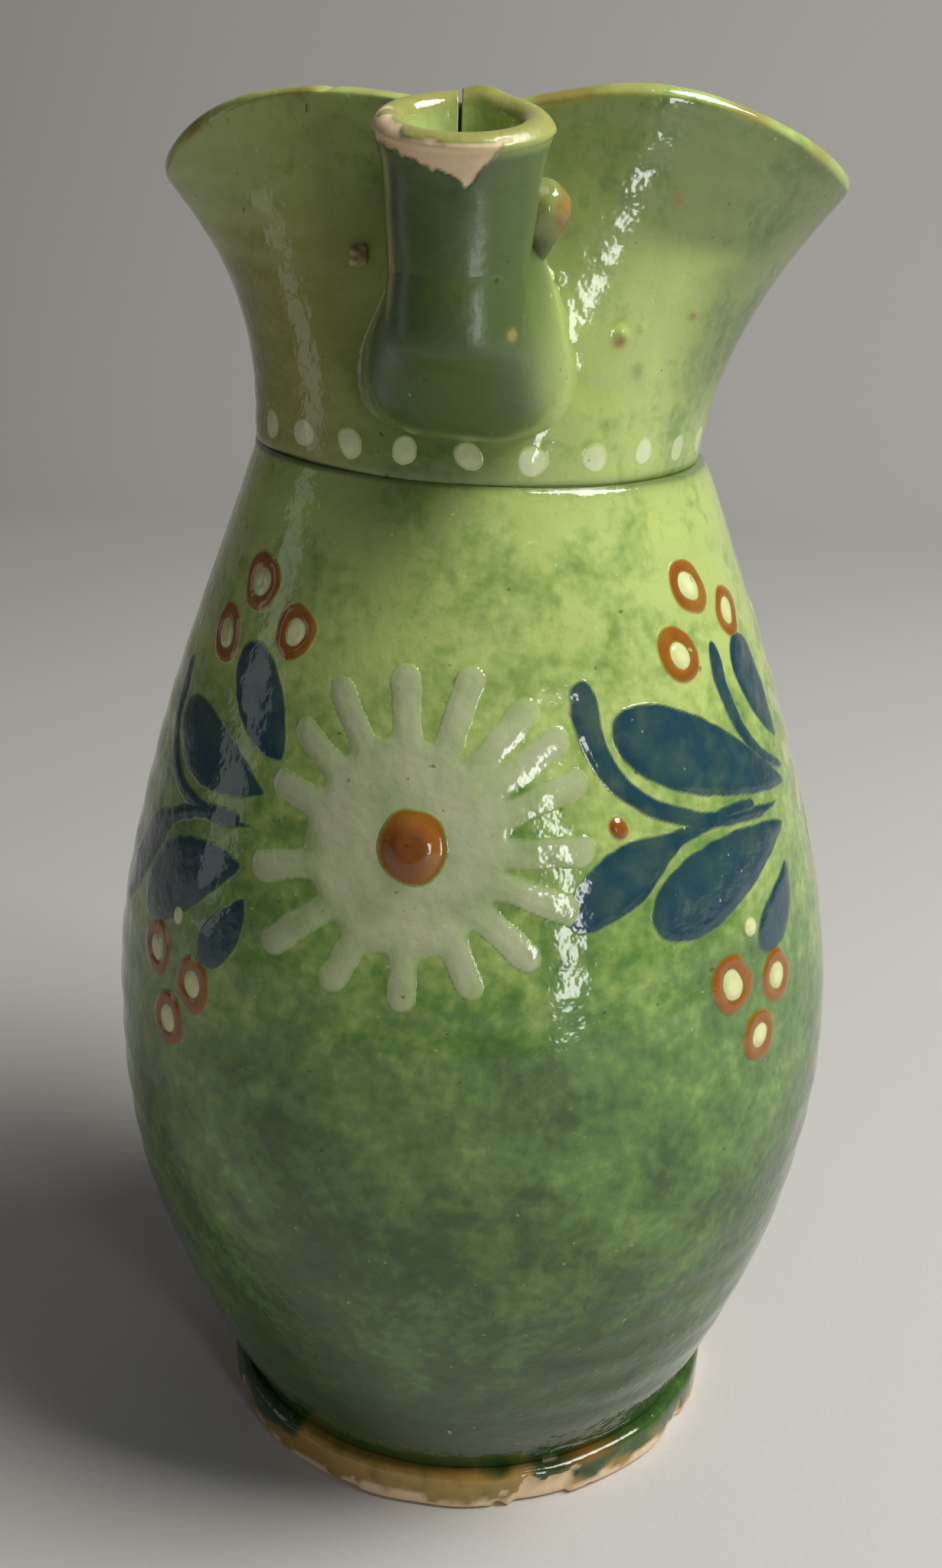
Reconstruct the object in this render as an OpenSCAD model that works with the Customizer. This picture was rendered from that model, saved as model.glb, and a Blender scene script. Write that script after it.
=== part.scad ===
// Slip-decorated earthenware puzzle jug: a thrown belly on a foot ring, a leaning neck with a pinched,
// wavy rim, a rolled clay tube on the front of the neck, a hidden drinking duct and a back handle.
// Millimetres. +Z is up, the tube faces -Y, and the origin is the middle of the standing face.

/* [Body] */
// Outer radius of the foot ring
foot_r = 41; // [40:0.5:48]
// Height of the foot ring
foot_h = 6.5; // [4:0.5:9]
// Chamfer along both outer edges of the foot ring
foot_edge = 1.2; // [0.5:0.1:1.8]
// Width of the ledge of the belly that sits on the foot ring
foot_ledge = 3; // [2:0.5:6]
// Outer radius of the belly just above the foot ring
belly_foot_r = 39; // [36:0.5:40]
// Largest outer radius of the belly
belly_r = 57; // [50:0.5:64]
// Height of the largest radius
belly_z = 68; // [55:1:80]
// How fast the belly widens above the foot, in mm of radius per mm of height
foot_spread = 0.48; // [0.3:0.02:0.6]
// How fast the shoulder narrows below the neck, in mm of radius per mm of height
shoulder_slope = 0.38; // [0.2:0.02:0.5]
// Wall of the belly
belly_wall = 5; // [3.5:0.5:6]
// Thickness of the floor
floor_t = 8; // [7:0.5:12]

/* [Neck] */
// Height of the joint between belly and neck
joint_z = 160; // [150:1:175]
// Outer radius of the neck at the joint
joint_r = 32.5; // [30:0.5:36]
// Step at the joint that shows as a groove
joint_step = 0.5; // [0.2:0.1:1]
// Lean of the neck towards +X, in degrees
neck_lean = 2.5; // [0:0.5:4]
// Wall of the neck
neck_wall = 4; // [3:0.5:5]
// Rim radius in front, behind the tube
rim_front_r = 29.5; // [28:0.5:34]
// Rim radius at the right side lip
rim_right_r = 49; // [42:0.5:54]
// Rim radius at the left side lip
rim_left_r = 47; // [42:0.5:54]
// Rim radius at the back
rim_back_r = 40; // [34:0.5:46]
// Height of the rim's ears above the joint
ear_h = 48; // [46:0.5:54]
// Height of the right side lip above the joint
lip_h = 38; // [36:0.5:44]
// How much lower the left side lip hangs than the right one
left_drop = 4; // [0:0.5:6]
// Angle from the front to each ear, in degrees
ear_angle = 36; // [30:1:40]
// Lean-out of the wall at the right side lip, in degrees
right_flare = 36; // [25:1:60]
// Lean-out of the wall at the left side lip, in degrees
left_flare = 50; // [25:1:60]
// Lean-out of the wall in front and at the back, in degrees
front_flare = 5; // [0:1:15]
// Roundness of the rim's edge
rim_round = 1.2; // [0.5:0.1:2]

/* [Tube] */
// Outer radius of the tube at its foot
tube_foot_r = 8.6; // [8:0.2:10]
// Outer radius of the tube at its mouth
tube_lip_r = 10.8; // [10:0.2:13]
// Distance of the tube and of the dip pipe to the right of the neck's axis
tube_x = 1.5; // [0:0.1:2.5]
// Radius of the tube's bore
tube_bore_r = 6; // [4.5:0.1:6.5]
// Radius of the bore where it opens at the mouth
mouth_r = 7.8; // [7:0.1:8.6]
// Depth of that widening
mouth_depth = 6; // [3:0.5:9]
// Height of the tube's foot seam above the joint
seam_z = 21; // [19:0.5:24]
// Height of the middle of the tube's mouth above the joint
mouth_z = 45; // [42:0.5:48]
// Forward tilt of the mouth, in degrees
mouth_tilt = 11; // [0:1:20]
// How deep the tube's back is pressed into the neck
tube_press = 0.6; // [0.3:0.1:1]
// Width of the open seam in the tube's back
slit_w = 1; // [0.6:0.1:1.5]
// Depth of the open seam below the mouth
slit_depth = 10; // [6:1:14]
// Overhang of the clay root round the tube's foot
root_lip = 0.5; // [0.5:0.1:2]
// Radius of the two lower swellings of the root
root_swell_r = 8; // [6:0.5:9]
// Half the spread of the two lower swellings
root_half_w = 4; // [3:0.5:8]
// Height of the lower swellings above the joint
root_low_z = 14; // [13.5:0.5:15]
// Radius of the clay bridge right of the tube
right_bridge_r = 5; // [4.5:0.5:6]
// Height of the right bridge above the joint
right_bridge_z = 34; // [30:1:36]
// Drop from the right bridge's middle to its lower point
right_bridge_drop = 6; // [4:0.5:8]
// Radius of the clay pellet left of the tube
left_pellet_r = 2.2; // [1.5:0.1:3]

/* [Duct] */
// Bore of the drinking duct
duct_d = 5; // [4:0.5:5.5]
// Outer radius of the dip pipe
pipe_r = 6; // [5:0.5:6.5]
// Gap between the dip pipe and the neck's inner wall
pipe_gap = 2; // [1:0.5:5]
// Height of the duct's hole through the neck wall above the joint
duct_z = 16; // [15:0.5:17]
// Distance of the duct's drop hole behind the tube's axis
drop_back = 3; // [2.5:0.1:3.2]
// Radius of the knuckle on top of the dip pipe
knuckle_r = 8; // [7.5:0.5:9]
// Height of the inlet notches at the pipe's foot
inlet_h = 6; // [4:1:10]
// Width of the inlet notches
inlet_w = 4; // [3:0.5:5]

/* [Handle] */
// Height of the handle's top end above the joint
handle_top_z = 24; // [20:1:28]
// Height of the handle's lower end above the standing face
handle_low_z = 104; // [95:1:115]
// Reach of the handle behind the wall
handle_reach = 44; // [36:1:52]
// Rise of the handle as it leaves the neck
handle_rise = 26; // [18:1:30]
// Width of the handle's strap
handle_w = 22; // [16:1:28]
// Thickness of the handle's strap
handle_t = 11; // [9:0.5:14]
// How deep the handle's ends are pressed towards the walls
handle_root = 3; // [2:0.5:3.5]

/* [Slip ornament] */
// Thickness of the slip marks
slip_t = 0.5; // [0.3:0.1:1]
// Number of dots round the neck
dot_count = 24; // [16:1:30]
// Radius of a neck dot
dot_r = 1.75; // [1:0.05:2.2]
// Number of rays on a daisy
ray_count = 16; // [12:1:18]
// Radius of a daisy over its rays, as a share of the arc from one daisy to the next
daisy_share = 0.252; // [0.2:0.002:0.254]
// Radius of a daisy's full disc, as a share of the daisy's radius
disc_share = 0.565; // [0.56:0.005:0.65]
// Width of a ray, as a share of the daisy's radius
ray_share = 0.182; // [0.13:0.002:0.19]
// Height of the daisies' middles
daisy_z = 115.5; // [112:0.5:118]
// Angle from one daisy to the next, in degrees
daisy_step = 108; // [104:1:116]
// Radius of the raised boss in a daisy
boss_r = 4.6; // [3:0.1:6]
// Height of that boss
boss_h = 1.6; // [1:0.1:2.5]
// Outer radius of a berry's ring
berry_r = 3.9; // [3.2:0.1:4]
// Radius of a berry's cream centre
berry_hole_r = 2.1; // [1.4:0.1:2.4]
// Radius of a small drop or dot on the belly
drop_r = 1.4; // [1:0.1:1.8]

/* [Hidden] */

// Resolution: steps of the profiles, the lofts and the round solids
lower_steps = 10;
upper_steps = 16;
neck_sides = 48;
neck_steps = 10;
handle_sides = 16;
handle_steps = 18;
$fn = 180;
hull_fn = 32;

// Length over which the neck's wall turns at its foot and at its rim
neck_pull = 40;
// Overlap of cutting tools past what they cut
past = 1;
// Depth of every tool that reaches right through the wall or out of the jug
through = 200;
// Radius where the foot ring meets the belly's stub
foot_seat_r = belly_foot_r - foot_ledge;
// Distance of the tube's axis in front of the jug's axis
tube_y = rim_front_r + (tube_foot_r + tube_lip_r) / 2 - tube_press;
// Distance of the dip pipe's axis in front of the jug's axis
pipe_y = joint_r - neck_wall - pipe_gap - pipe_r;
duct_r = duct_d / 2;
// Azimuths are measured from the front towards +X
front_daisy_az = -2;
right_daisy_az = front_daisy_az + daisy_step;
left_daisy_az = front_daisy_az - daisy_step;
// Each spray grows towards the left from beside a daisy, the right one a little apart from it
right_spray_back = 32;
left_spray_back = 23;
right_spray_az = right_daisy_az - right_spray_back;
left_spray_az = front_daisy_az - left_spray_back;

// Cubic curve from p0 to p1 with slopes m0 and m1, and its derivative
function hermite(t, p0, p1, m0, m1) =
    (2 * t ^ 3 - 3 * t ^ 2 + 1) * p0 + (t ^ 3 - 2 * t ^ 2 + t) * m0
    + (3 * t ^ 2 - 2 * t ^ 3) * p1 + (t ^ 3 - t ^ 2) * m1;
function hermite_rate(t, p0, p1, m0, m1) =
    (6 * t ^ 2 - 6 * t) * (p0 - p1) + (3 * t ^ 2 - 4 * t + 1) * m0 + (3 * t ^ 2 - 2 * t) * m1;

// Outer radius of the belly at height z
belly_low_h = belly_z - foot_h;
belly_high_h = joint_z - belly_z;
function belly_rad(z) = z < belly_z
    ? hermite((z - foot_h) / belly_low_h, belly_foot_r, belly_r, foot_spread * belly_low_h, 0)
    : hermite(min(1, (z - belly_z) / belly_high_h), belly_r, joint_r + joint_step,
              0, -shoulder_slope * belly_high_h);
belly_heights = [
    for (i = [0:lower_steps - 1]) foot_h + belly_low_h * i / lower_steps,
    for (i = [0:upper_steps]) belly_z + belly_high_h * i / upper_steps
];

// Arc from one daisy to the next, which sets the size of all painted marks on the belly
daisy_arc = belly_rad(daisy_z) * daisy_step * PI / 180;
daisy_r = daisy_share * daisy_arc;
daisy_disc_r = disc_share * daisy_r;
ray_w = ray_share * daisy_r;
// The marks of a spray are drawn in 92nds of that arc
spray_unit = daisy_arc / 92;
spray_z = daisy_z - 2.5 * spray_unit;

// Value that runs smoothly from left to right by azimuth
function by_side(a, left, right) = (left + right) / 2 + (right - left) / 2 * sin(a);
// Rim of the neck by azimuth: radius, height and lean-out
rim_ends_r = (rim_front_r + rim_back_r) / 2;
function rim_rad(a) = let (side_r = by_side(a, rim_left_r, rim_right_r))
    (side_r + rim_ends_r) / 2 - (rim_back_r - rim_front_r) / 2 * cos(a)
    - (side_r - rim_ends_r) / 2 * cos(2 * a);
ear_wave = 1 / (4 * cos(2 * ear_angle));
function rim_wave(a) = cos(2 * a) - ear_wave * cos(4 * a);
function rim_height(a) = lip_h - left_drop * max(0, -sin(a)) ^ 1.5
    + (ear_h - lip_h) * (rim_wave(a) - rim_wave(90)) / (rim_wave(ear_angle) - rim_wave(90));
function rim_flare(a) = front_flare
    + (by_side(a, left_flare, right_flare) - front_flare) * sin(a) ^ 2;

// Point of the neck at azimuth a and share t of the way from joint to rim, depth below the outside,
// and lift past it along the wall
function neck_point(a, t, depth = 0, lift = 0) =
    let (
        slope_r = neck_pull * sin(rim_flare(a)),
        slope_z = neck_pull * cos(rim_flare(a)),
        r = hermite(t, joint_r, rim_rad(a), 0, slope_r),
        z = hermite(t, 0, rim_height(a), neck_pull, slope_z),
        dr = hermite_rate(t, joint_r, rim_rad(a), 0, slope_r),
        dz = hermite_rate(t, 0, rim_height(a), neck_pull, slope_z),
        len = norm([dr, dz]),
        out = r - depth * dz / len + lift * dr / len
    )
    [out * sin(a), -out * cos(a), z + depth * dr / len + lift * dz / len];

function neck_ring(t, depth = 0, lift = 0) =
    [for (i = [0:neck_sides - 1]) neck_point(360 * i / neck_sides, t, depth, lift)];
neck_outer_rings = [for (i = [0:neck_steps]) neck_ring(i / neck_steps)];
neck_inner_rings = [for (i = [0:neck_steps]) neck_ring(i / neck_steps, neck_wall)];

// Triangles between ring j and ring k of n points each
function band(j, k, n) = [
    for (i = [0:n - 1]) let (m = (i + 1) % n)
        each [[j * n + i, k * n + i, k * n + m], [j * n + i, k * n + m, j * n + m]]
];

// Solid through a list of closed rings, capped at both ends by a fan to each ring's middle
module loft(rings) {
    n = len(rings[0]);
    last = len(rings) - 1;
    middle = [for (ring = [rings[0], rings[last]]) [for (p = ring) 1] * ring / n];
    foot_mid = len(rings) * n;
    polyhedron(
        points = concat([for (ring = rings) each ring], middle),
        faces = concat(
            [for (j = [0:last - 1]) each band(j, j + 1, n)],
            [for (i = [0:n - 1]) [foot_mid, i, (i + 1) % n]],
            [for (i = [0:n - 1]) [foot_mid + 1, last * n + (i + 1) % n, last * n + i]]
        )
    );
}

// Solid through a list of rings whose last ring joins the first
module ring_loft(rings) {
    n = len(rings[0]);
    count = len(rings);
    polyhedron(
        points = [for (ring = rings) each ring],
        faces = [for (j = [0:count - 1]) each band(j, (j + 1) % count, n)]
    );
}

// Frame of the leaning neck: z is 0 on the joint
module at_neck() {
    translate([0, 0, joint_z]) rotate([0, neck_lean, 0]) children();
}

// Outline of the belly as a solid, grown by extra
module belly_blank(extra = 0) {
    rotate_extrude()
        polygon(concat(
            [[0, belly_heights[0]]],
            [for (z = belly_heights) [belly_rad(z) + extra, z]],
            [[joint_r, joint_z + neck_wall], [0, joint_z + neck_wall]]
        ));
}

// Everything above the leaning joint
module above_joint() {
    at_neck() translate([-through, -through, 0]) cube(2 * through);
}

module neck_blank() {
    loft(neck_outer_rings);
}

// Hole from the tube's foot down into its root, and straight back into the neck
module duct_hole() {
    drop_y = tube_y - drop_back;
    translate([tube_x, -pipe_y, duct_z])
        rotate([90, 0, 0]) cylinder(r = duct_r, h = drop_y - pipe_y + duct_r);
    translate([tube_x, -drop_y, duct_z]) cylinder(r = duct_r, h = seam_z);
}

// Everything above the body's widest line
module above_widest() {
    translate([-through, -through, belly_z]) cube(2 * through);
}

// Whole body with its hollow, open at the joint
module body() {
    cavity_top = joint_z + neck_wall;
    difference() {
        union() {
            belly_blank();
            cylinder(r = foot_seat_r, h = foot_h + past);
        }
        rotate_extrude()
            polygon(concat(
                [[0, floor_t], [belly_rad(floor_t) - belly_wall, floor_t]],
                [for (z = belly_heights) if (z > floor_t + past) [belly_rad(z) - belly_wall, z]],
                [[joint_r + joint_step - belly_wall, cavity_top + past], [0, cavity_top + past]]
            ));
        above_joint();
    }
}

// Lower half of the body, with the floor
module belly() {
    color("yellowgreen")
    difference() {
        body();
        above_widest();
    }
}

// Upper half of the body, up to the neck
module shoulder() {
    color("greenyellow")
    intersection() {
        body();
        above_widest();
    }
}

module foot_ring() {
    color("goldenrod")
    rotate_extrude()
        polygon([
            [foot_seat_r, 0],
            [foot_r - foot_edge, 0],
            [foot_r, foot_edge],
            [foot_r, foot_h - foot_edge],
            [foot_r - foot_edge, foot_h],
            [foot_seat_r, foot_h]
        ]);
}

module neck() {
    inner_down = [for (i = [neck_steps:-1:0]) neck_inner_rings[i]];
    color("olivedrab")
    at_neck()
    difference() {
        ring_loft(concat(neck_outer_rings, [neck_ring(1, neck_wall / 2, rim_round)], inner_down));
        duct_hole();
    }
}

// Outside of the tube as a solid that runs past its mouth
tube_top_z = mouth_z + tube_lip_r * tan(mouth_tilt) + past;
tube_rise = mouth_z - seam_z;
function tube_rad(z) = hermite(min(1, (z - seam_z) / tube_rise), tube_foot_r, tube_lip_r, 0,
                               2 * (tube_lip_r - tube_foot_r));
module tube_blank() {
    translate([tube_x, -tube_y, 0])
        rotate_extrude()
            polygon(concat(
                [[0, seam_z]],
                [for (i = [0:neck_steps]) let (z = seam_z + tube_rise * i / neck_steps) [tube_rad(z), z]],
                [[tube_lip_r, tube_top_z], [0, tube_top_z]]
            ));
}

module front_tube() {
    color("darkolivegreen")
    at_neck()
    difference() {
        tube_blank();
        neck_blank();
        translate([tube_x, -tube_y, 0]) {
            translate([0, 0, seam_z - past]) cylinder(r = tube_bore_r, h = tube_top_z);
            translate([0, 0, mouth_z]) rotate([mouth_tilt, 0, 0]) {
                translate([-through / 2, -through / 2, 0]) cube(through);
                translate([0, 0, -mouth_depth])
                    cylinder(r1 = tube_bore_r, r2 = mouth_r, h = mouth_depth);
                translate([-slit_w / 2, 0, -slit_depth]) cube([slit_w, tube_y, slit_depth + past]);
            }
        }
    }
}

module tube_root() {
    color("olive")
    at_neck()
    difference() {
        hull() {
            translate([tube_x, -tube_y, seam_z - root_lip])
                cylinder(r = tube_foot_r + root_lip, h = root_lip, $fn = hull_fn);
            for (side = [-1, 1])
                translate([tube_x + side * root_half_w, root_swell_r - tube_y, root_low_z])
                    sphere(r = root_swell_r, $fn = hull_fn);
        }
        translate([-through, -through, seam_z]) cube(2 * through);
        neck_blank();
        duct_hole();
    }
}

// Clay smeared between the tube and the neck, drawn to a point below
module right_bridge() {
    bridge_x = tube_x + tube_rad(right_bridge_z);
    cut_x = bridge_x - right_bridge_r / 2;
    color("peru")
    at_neck()
    difference() {
        translate([bridge_x, right_bridge_r - tube_y, right_bridge_z])
            hull() {
                sphere(r = right_bridge_r, $fn = hull_fn);
                translate([0, 0, -right_bridge_drop]) sphere(r = right_bridge_r / 3, $fn = hull_fn);
            }
        neck_blank();
        tube_blank();
        translate([-through, -through, 0]) cube([through + cut_x, 2 * through, through]);
    }
}

// Pellet of clay stuck to the neck
module left_pellet() {
    pellet_az = -25;
    pellet_share = 0.6;
    color("peru")
    at_neck()
    difference() {
        translate(neck_point(pellet_az, pellet_share)) hull() sphere(r = left_pellet_r, $fn = hull_fn);
        neck_blank();
    }
}

module dip_pipe() {
    color("sienna")
    difference() {
        at_neck()
            translate([tube_x, -pipe_y, duct_z - knuckle_r - through])
                difference() {
                    cylinder(r = pipe_r, h = through);
                    translate([0, 0, -past]) cylinder(r = duct_r, h = through + 2 * past);
                }
        translate([-through, -through, floor_t - through]) cube([2 * through, 2 * through, through]);
        translate([-through / 2, -pipe_y - inlet_w / 2, floor_t]) cube([through, inlet_w, inlet_h]);
    }
}

module pipe_elbow() {
    color("sienna")
    at_neck()
    difference() {
        intersection() {
            translate([tube_x, -pipe_y, duct_z]) {
                sphere(r = knuckle_r);
                translate([0, 0, -knuckle_r]) cylinder(r = pipe_r, h = knuckle_r);
                rotate([90, 0, 0]) cylinder(r = pipe_r, h = tube_y);
            }
            loft(neck_inner_rings);
        }
        translate([tube_x, -pipe_y, duct_z - knuckle_r - past])
            cylinder(r = duct_r, h = knuckle_r + past);
        duct_hole();
    }
}

// Middle line of the handle, from the neck to the belly, and the rings of its oval strap
handle_from = [0, joint_r - handle_root, joint_z + handle_top_z];
handle_to = [0, belly_rad(handle_low_z) - handle_root, handle_low_z];
handle_out_top = handle_from + [0, handle_reach, handle_rise];
handle_out_low = handle_to + [0, handle_reach, handle_t];
function bezier(t) = (1 - t) ^ 3 * handle_from + 3 * t * (1 - t) ^ 2 * handle_out_top
    + 3 * t ^ 2 * (1 - t) * handle_out_low + t ^ 3 * handle_to;
function bezier_rate(t) = 3 * (1 - t) ^ 2 * (handle_out_top - handle_from)
    + 6 * t * (1 - t) * (handle_out_low - handle_out_top) + 3 * t ^ 2 * (handle_to - handle_out_low);
function handle_ring(t) =
    let (dir = bezier_rate(t) / norm(bezier_rate(t)), out = [0, dir[2], -dir[1]])
    [for (i = [0:handle_sides - 1]) let (a = 360 * i / handle_sides)
        bezier(t) + [handle_w / 2 * cos(a), 0, 0] + out * handle_t / 2 * sin(a)];

module handle() {
    color("olivedrab")
    difference() {
        loft([for (i = [0:handle_steps]) handle_ring(i / handle_steps)]);
        belly_blank();
        at_neck() neck_blank();
    }
}

// Tool that points out of the belly at azimuth az and height z, with its outline drawn on the belly:
// x runs to the right and y up
module on_belly(az, z) {
    rotate([0, 0, az]) translate([0, 0, z]) rotate([90, 0, 0]) linear_extrude(through) children();
}

// Skin of slip on the outside of the belly
module slip_skin() {
    last = len(belly_heights) - 1;
    rotate_extrude()
        polygon(concat(
            [for (z = belly_heights) [belly_rad(z), z]],
            [for (i = [last:-1:0]) let (z = belly_heights[i]) [belly_rad(z) + slip_t, z]]
        ));
}

module neck_dots() {
    dot_share = 0.09;
    dot_turn = 5;
    color("beige")
    at_neck()
    difference() {
        for (i = [0:dot_count - 1]) let (a = dot_turn + 360 * i / dot_count, p = neck_point(a, dot_share))
            translate([0, 0, p[2]])
                rotate([90, 0, a])
                    translate([0, 0, norm([p[0], p[1]]) - past])
                        cylinder(r = dot_r, h = past + slip_t);
        neck_blank();
    }
}

// Outline of one ray from the disc round its tip and back
ray_half = ray_w / 2;
ray_foot = sqrt(daisy_disc_r ^ 2 - ray_half ^ 2);
ray_tip = daisy_r - ray_half;
tip_steps = 8;
ray_outline = [
    [ray_foot, -ray_half],
    for (i = [0:tip_steps]) let (a = -90 + 180 * i / tip_steps)
        [ray_tip + ray_half * cos(a), ray_half * sin(a)],
    [ray_foot, ray_half]
];

module daisy(az) {
    color("honeydew")
    intersection() {
        slip_skin();
        on_belly(az, daisy_z)
            polygon([
                for (i = [0:ray_count - 1]) let (a = 360 * i / ray_count, along = [cos(a), sin(a)])
                    each [for (p = ray_outline) p[0] * along + p[1] * [-along[1], along[0]]]
            ]);
    }
}

// Domed pellet of slip on the middle of a daisy
module boss(az) {
    dome_r = (boss_r ^ 2 + boss_h ^ 2) / (2 * boss_h);
    seat_r = belly_rad(daisy_z) + slip_t;
    color("saddlebrown")
    difference() {
        rotate([0, 0, az]) translate([0, -seat_r - boss_h + dome_r, daisy_z]) sphere(r = dome_r);
        belly_blank(slip_t);
    }
}

// Place on a spray: u runs along the belly to the right of the spray's root and v up from it
module spray_mark(az, u, v) {
    z = spray_z + v * spray_unit;
    on_belly(az + u * spray_unit / belly_rad(z) * 180 / PI, z) children();
}

// Half-widths of brush marks along their length, as shares of the full half-width
mark_steps = 12;
leaf_shape = function (t) 1.64 * t ^ 0.8 * sqrt(1 - t ^ 3);
stroke_shape = function (t) (0.35 + 0.65 * t) * sqrt(1 - max(0, 10 * t - 9) ^ 2) * min(1, 10 * t);
tail_shape = function (t) 0.3 * min(1, 10 * t) * (1 - t) + sin(180 * max(0, 2.2 * t - 1.2) ^ 0.8);

// Brush mark along a curve from a over b to c, w wide at its fullest
module brush(a, b, c, w, shape) {
    mid = [for (i = [0:mark_steps]) let (t = i / mark_steps)
        (1 - t) ^ 2 * a + 2 * t * (1 - t) * b + t ^ 2 * c];
    side = [for (i = [0:mark_steps]) let (t = i / mark_steps, along = (1 - t) * (b - a) + t * (c - b))
        w / 2 * shape(t) * [-along[1], along[0]] / norm(along)];
    polygon(spray_unit * concat(
        [for (i = [0:mark_steps]) mid[i] + side[i]],
        [for (i = [mark_steps - 1:-1:1]) mid[i] - side[i]]
    ));
}

module leaves(az) {
    color("midnightblue")
    intersection() {
        slip_skin();
        union() {
            // Long stroke that swings up on the left, and the large leaf inside its bend
            spray_mark(az, -20, 8) brush([11.5, -6.2], [-20.5, -7.7], [-14.5, 14.5], 4.2, stroke_shape);
            spray_mark(az, -15, 8) brush([14, -7], [-5, 2.7], [-16, 7.5], 11, leaf_shape);
            // Low stroke that swells into a hanging leaf, and the large leaf below it
            spray_mark(az, -25, -3) brush([16, 1.6], [2, 4], [-21, -5], 7.5, tail_shape);
            spray_mark(az, -17, -7) brush([13, 2.6], [-3, 1], [-17, -5], 10, leaf_shape);
            // Short stroke and two short leaves beside the root
            spray_mark(az, -5, 12) brush([7, -8], [-9, -3], [-5.4, 11], 3.2, stroke_shape);
            spray_mark(az, -1, 15) brush([3, -7], [0, 0], [-2.5, 6.5], 8, leaf_shape);
            spray_mark(az, -10, -13) brush([4.5, 4.5], [2.5, -1], [-5, -4], 6, leaf_shape);
        }
    }
}

// Places of the berries on a spray
berry_places = [[-11.7, 32], [-3.2, 27], [-18, 23.5], [-24, -21], [-14, -23], [-20, -30]];
// Place of the cream dot above the lower berries
cream_place = [-18.5, -14.5];

module berry_rings(az) {
    color("chocolate")
    intersection() {
        slip_skin();
        for (p = berry_places)
            spray_mark(az, p[0], p[1]) difference() {
                circle(r = berry_r);
                circle(r = berry_hole_r);
            }
    }
}

module cream_dots(az) {
    color("cornsilk")
    intersection() {
        slip_skin();
        union() {
            for (p = berry_places) spray_mark(az, p[0], p[1]) circle(r = berry_hole_r);
            spray_mark(az, cream_place[0], cream_place[1]) circle(r = drop_r);
        }
    }
}

module stray_drop() {
    color("sienna")
    intersection() {
        slip_skin();
        spray_mark(right_spray_az, -37, 3.7) circle(r = drop_r);
    }
}

belly();
shoulder();
foot_ring();
neck();
front_tube();
tube_root();
right_bridge();
left_pellet();
dip_pipe();
pipe_elbow();
handle();
neck_dots();
daisy(front_daisy_az);  // daisy_front
daisy(right_daisy_az);  // daisy_right
daisy(left_daisy_az);  // daisy_left
boss(front_daisy_az);  // boss_front
boss(right_daisy_az);  // boss_right
boss(left_daisy_az);  // boss_left
leaves(right_spray_az);  // right_leaves
leaves(left_spray_az);  // left_leaves
berry_rings(right_spray_az);  // right_berry_rings
berry_rings(left_spray_az);  // left_berry_rings
cream_dots(right_spray_az);  // right_cream_dots
cream_dots(left_spray_az);  // left_cream_dots
stray_drop();
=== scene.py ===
# %% [markdown]
# # A slip-decorated puzzle jug
# This lesson dresses the CAD model of an earthenware puzzle jug. The CAD solids say where every piece is
# and how big it is, and they stay untouched. Each piece gets a new skin here, because thrown and pressed
# clay is soft: edges are round, walls are a little uneven, and one piece of clay runs into the next.

# %% Load the CAD frame
import math

import bmesh
import bpy
import numpy as np
from mathutils import Matrix, Vector


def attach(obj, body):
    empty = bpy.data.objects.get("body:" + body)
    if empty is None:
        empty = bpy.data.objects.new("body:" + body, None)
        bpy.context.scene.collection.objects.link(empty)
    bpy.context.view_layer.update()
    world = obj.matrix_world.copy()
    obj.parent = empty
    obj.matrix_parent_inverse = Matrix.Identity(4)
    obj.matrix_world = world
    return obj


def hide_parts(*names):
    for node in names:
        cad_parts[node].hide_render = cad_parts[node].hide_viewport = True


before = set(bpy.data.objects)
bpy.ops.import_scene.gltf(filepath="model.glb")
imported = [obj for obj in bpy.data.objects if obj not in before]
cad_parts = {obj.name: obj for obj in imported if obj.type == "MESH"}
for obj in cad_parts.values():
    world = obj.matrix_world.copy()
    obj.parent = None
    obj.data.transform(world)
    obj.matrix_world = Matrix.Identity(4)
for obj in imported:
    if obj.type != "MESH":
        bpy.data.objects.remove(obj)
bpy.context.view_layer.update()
print("CAD nodes:", len(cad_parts))

# %% [markdown]
# ## Camera
# The jug stands on a table and is seen from a little above, a bit from its right, with a short lens. A
# camera could be aimed with a constraint, but a written matrix shows what each angle does: the turn round
# the jug, the pitch down at it, and the small roll that makes the jug lean to the right in the picture.

# %% Camera
MM = 0.001
PICTURE_H = 2048
SENSOR_MM = 36.0
focal_px = 2265
camera_turn = math.radians(7.5)
camera_pitch = math.radians(20.4)
camera_roll = math.radians(0.6)
camera_away, camera_high, camera_left = 256.5, 202.0, 0.45

look = Vector((-math.sin(camera_turn) * math.cos(camera_pitch),
               math.cos(camera_turn) * math.cos(camera_pitch), -math.sin(camera_pitch)))
level = Vector((math.cos(camera_turn), math.sin(camera_turn), 0))
upright = level.cross(look)
right = level * math.cos(camera_roll) + upright * math.sin(camera_roll)
up = upright * math.cos(camera_roll) - level * math.sin(camera_roll)
stand = Vector((camera_away * math.sin(camera_turn), -camera_away * math.cos(camera_turn), camera_high))

camera = bpy.data.objects.new("camera", bpy.data.cameras.new("camera"))
bpy.context.scene.collection.objects.link(camera)
camera.data.sensor_width = SENSOR_MM
camera.data.lens = SENSOR_MM * focal_px / PICTURE_H
camera.data.clip_start = 0.01
turned = Matrix((right, up, -look)).transposed().to_4x4()
camera.matrix_world = Matrix.Translation((stand - level * camera_left) * MM) @ turned
bpy.context.scene.camera = camera
print("lens", round(camera.data.lens, 2), "mm")

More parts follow.
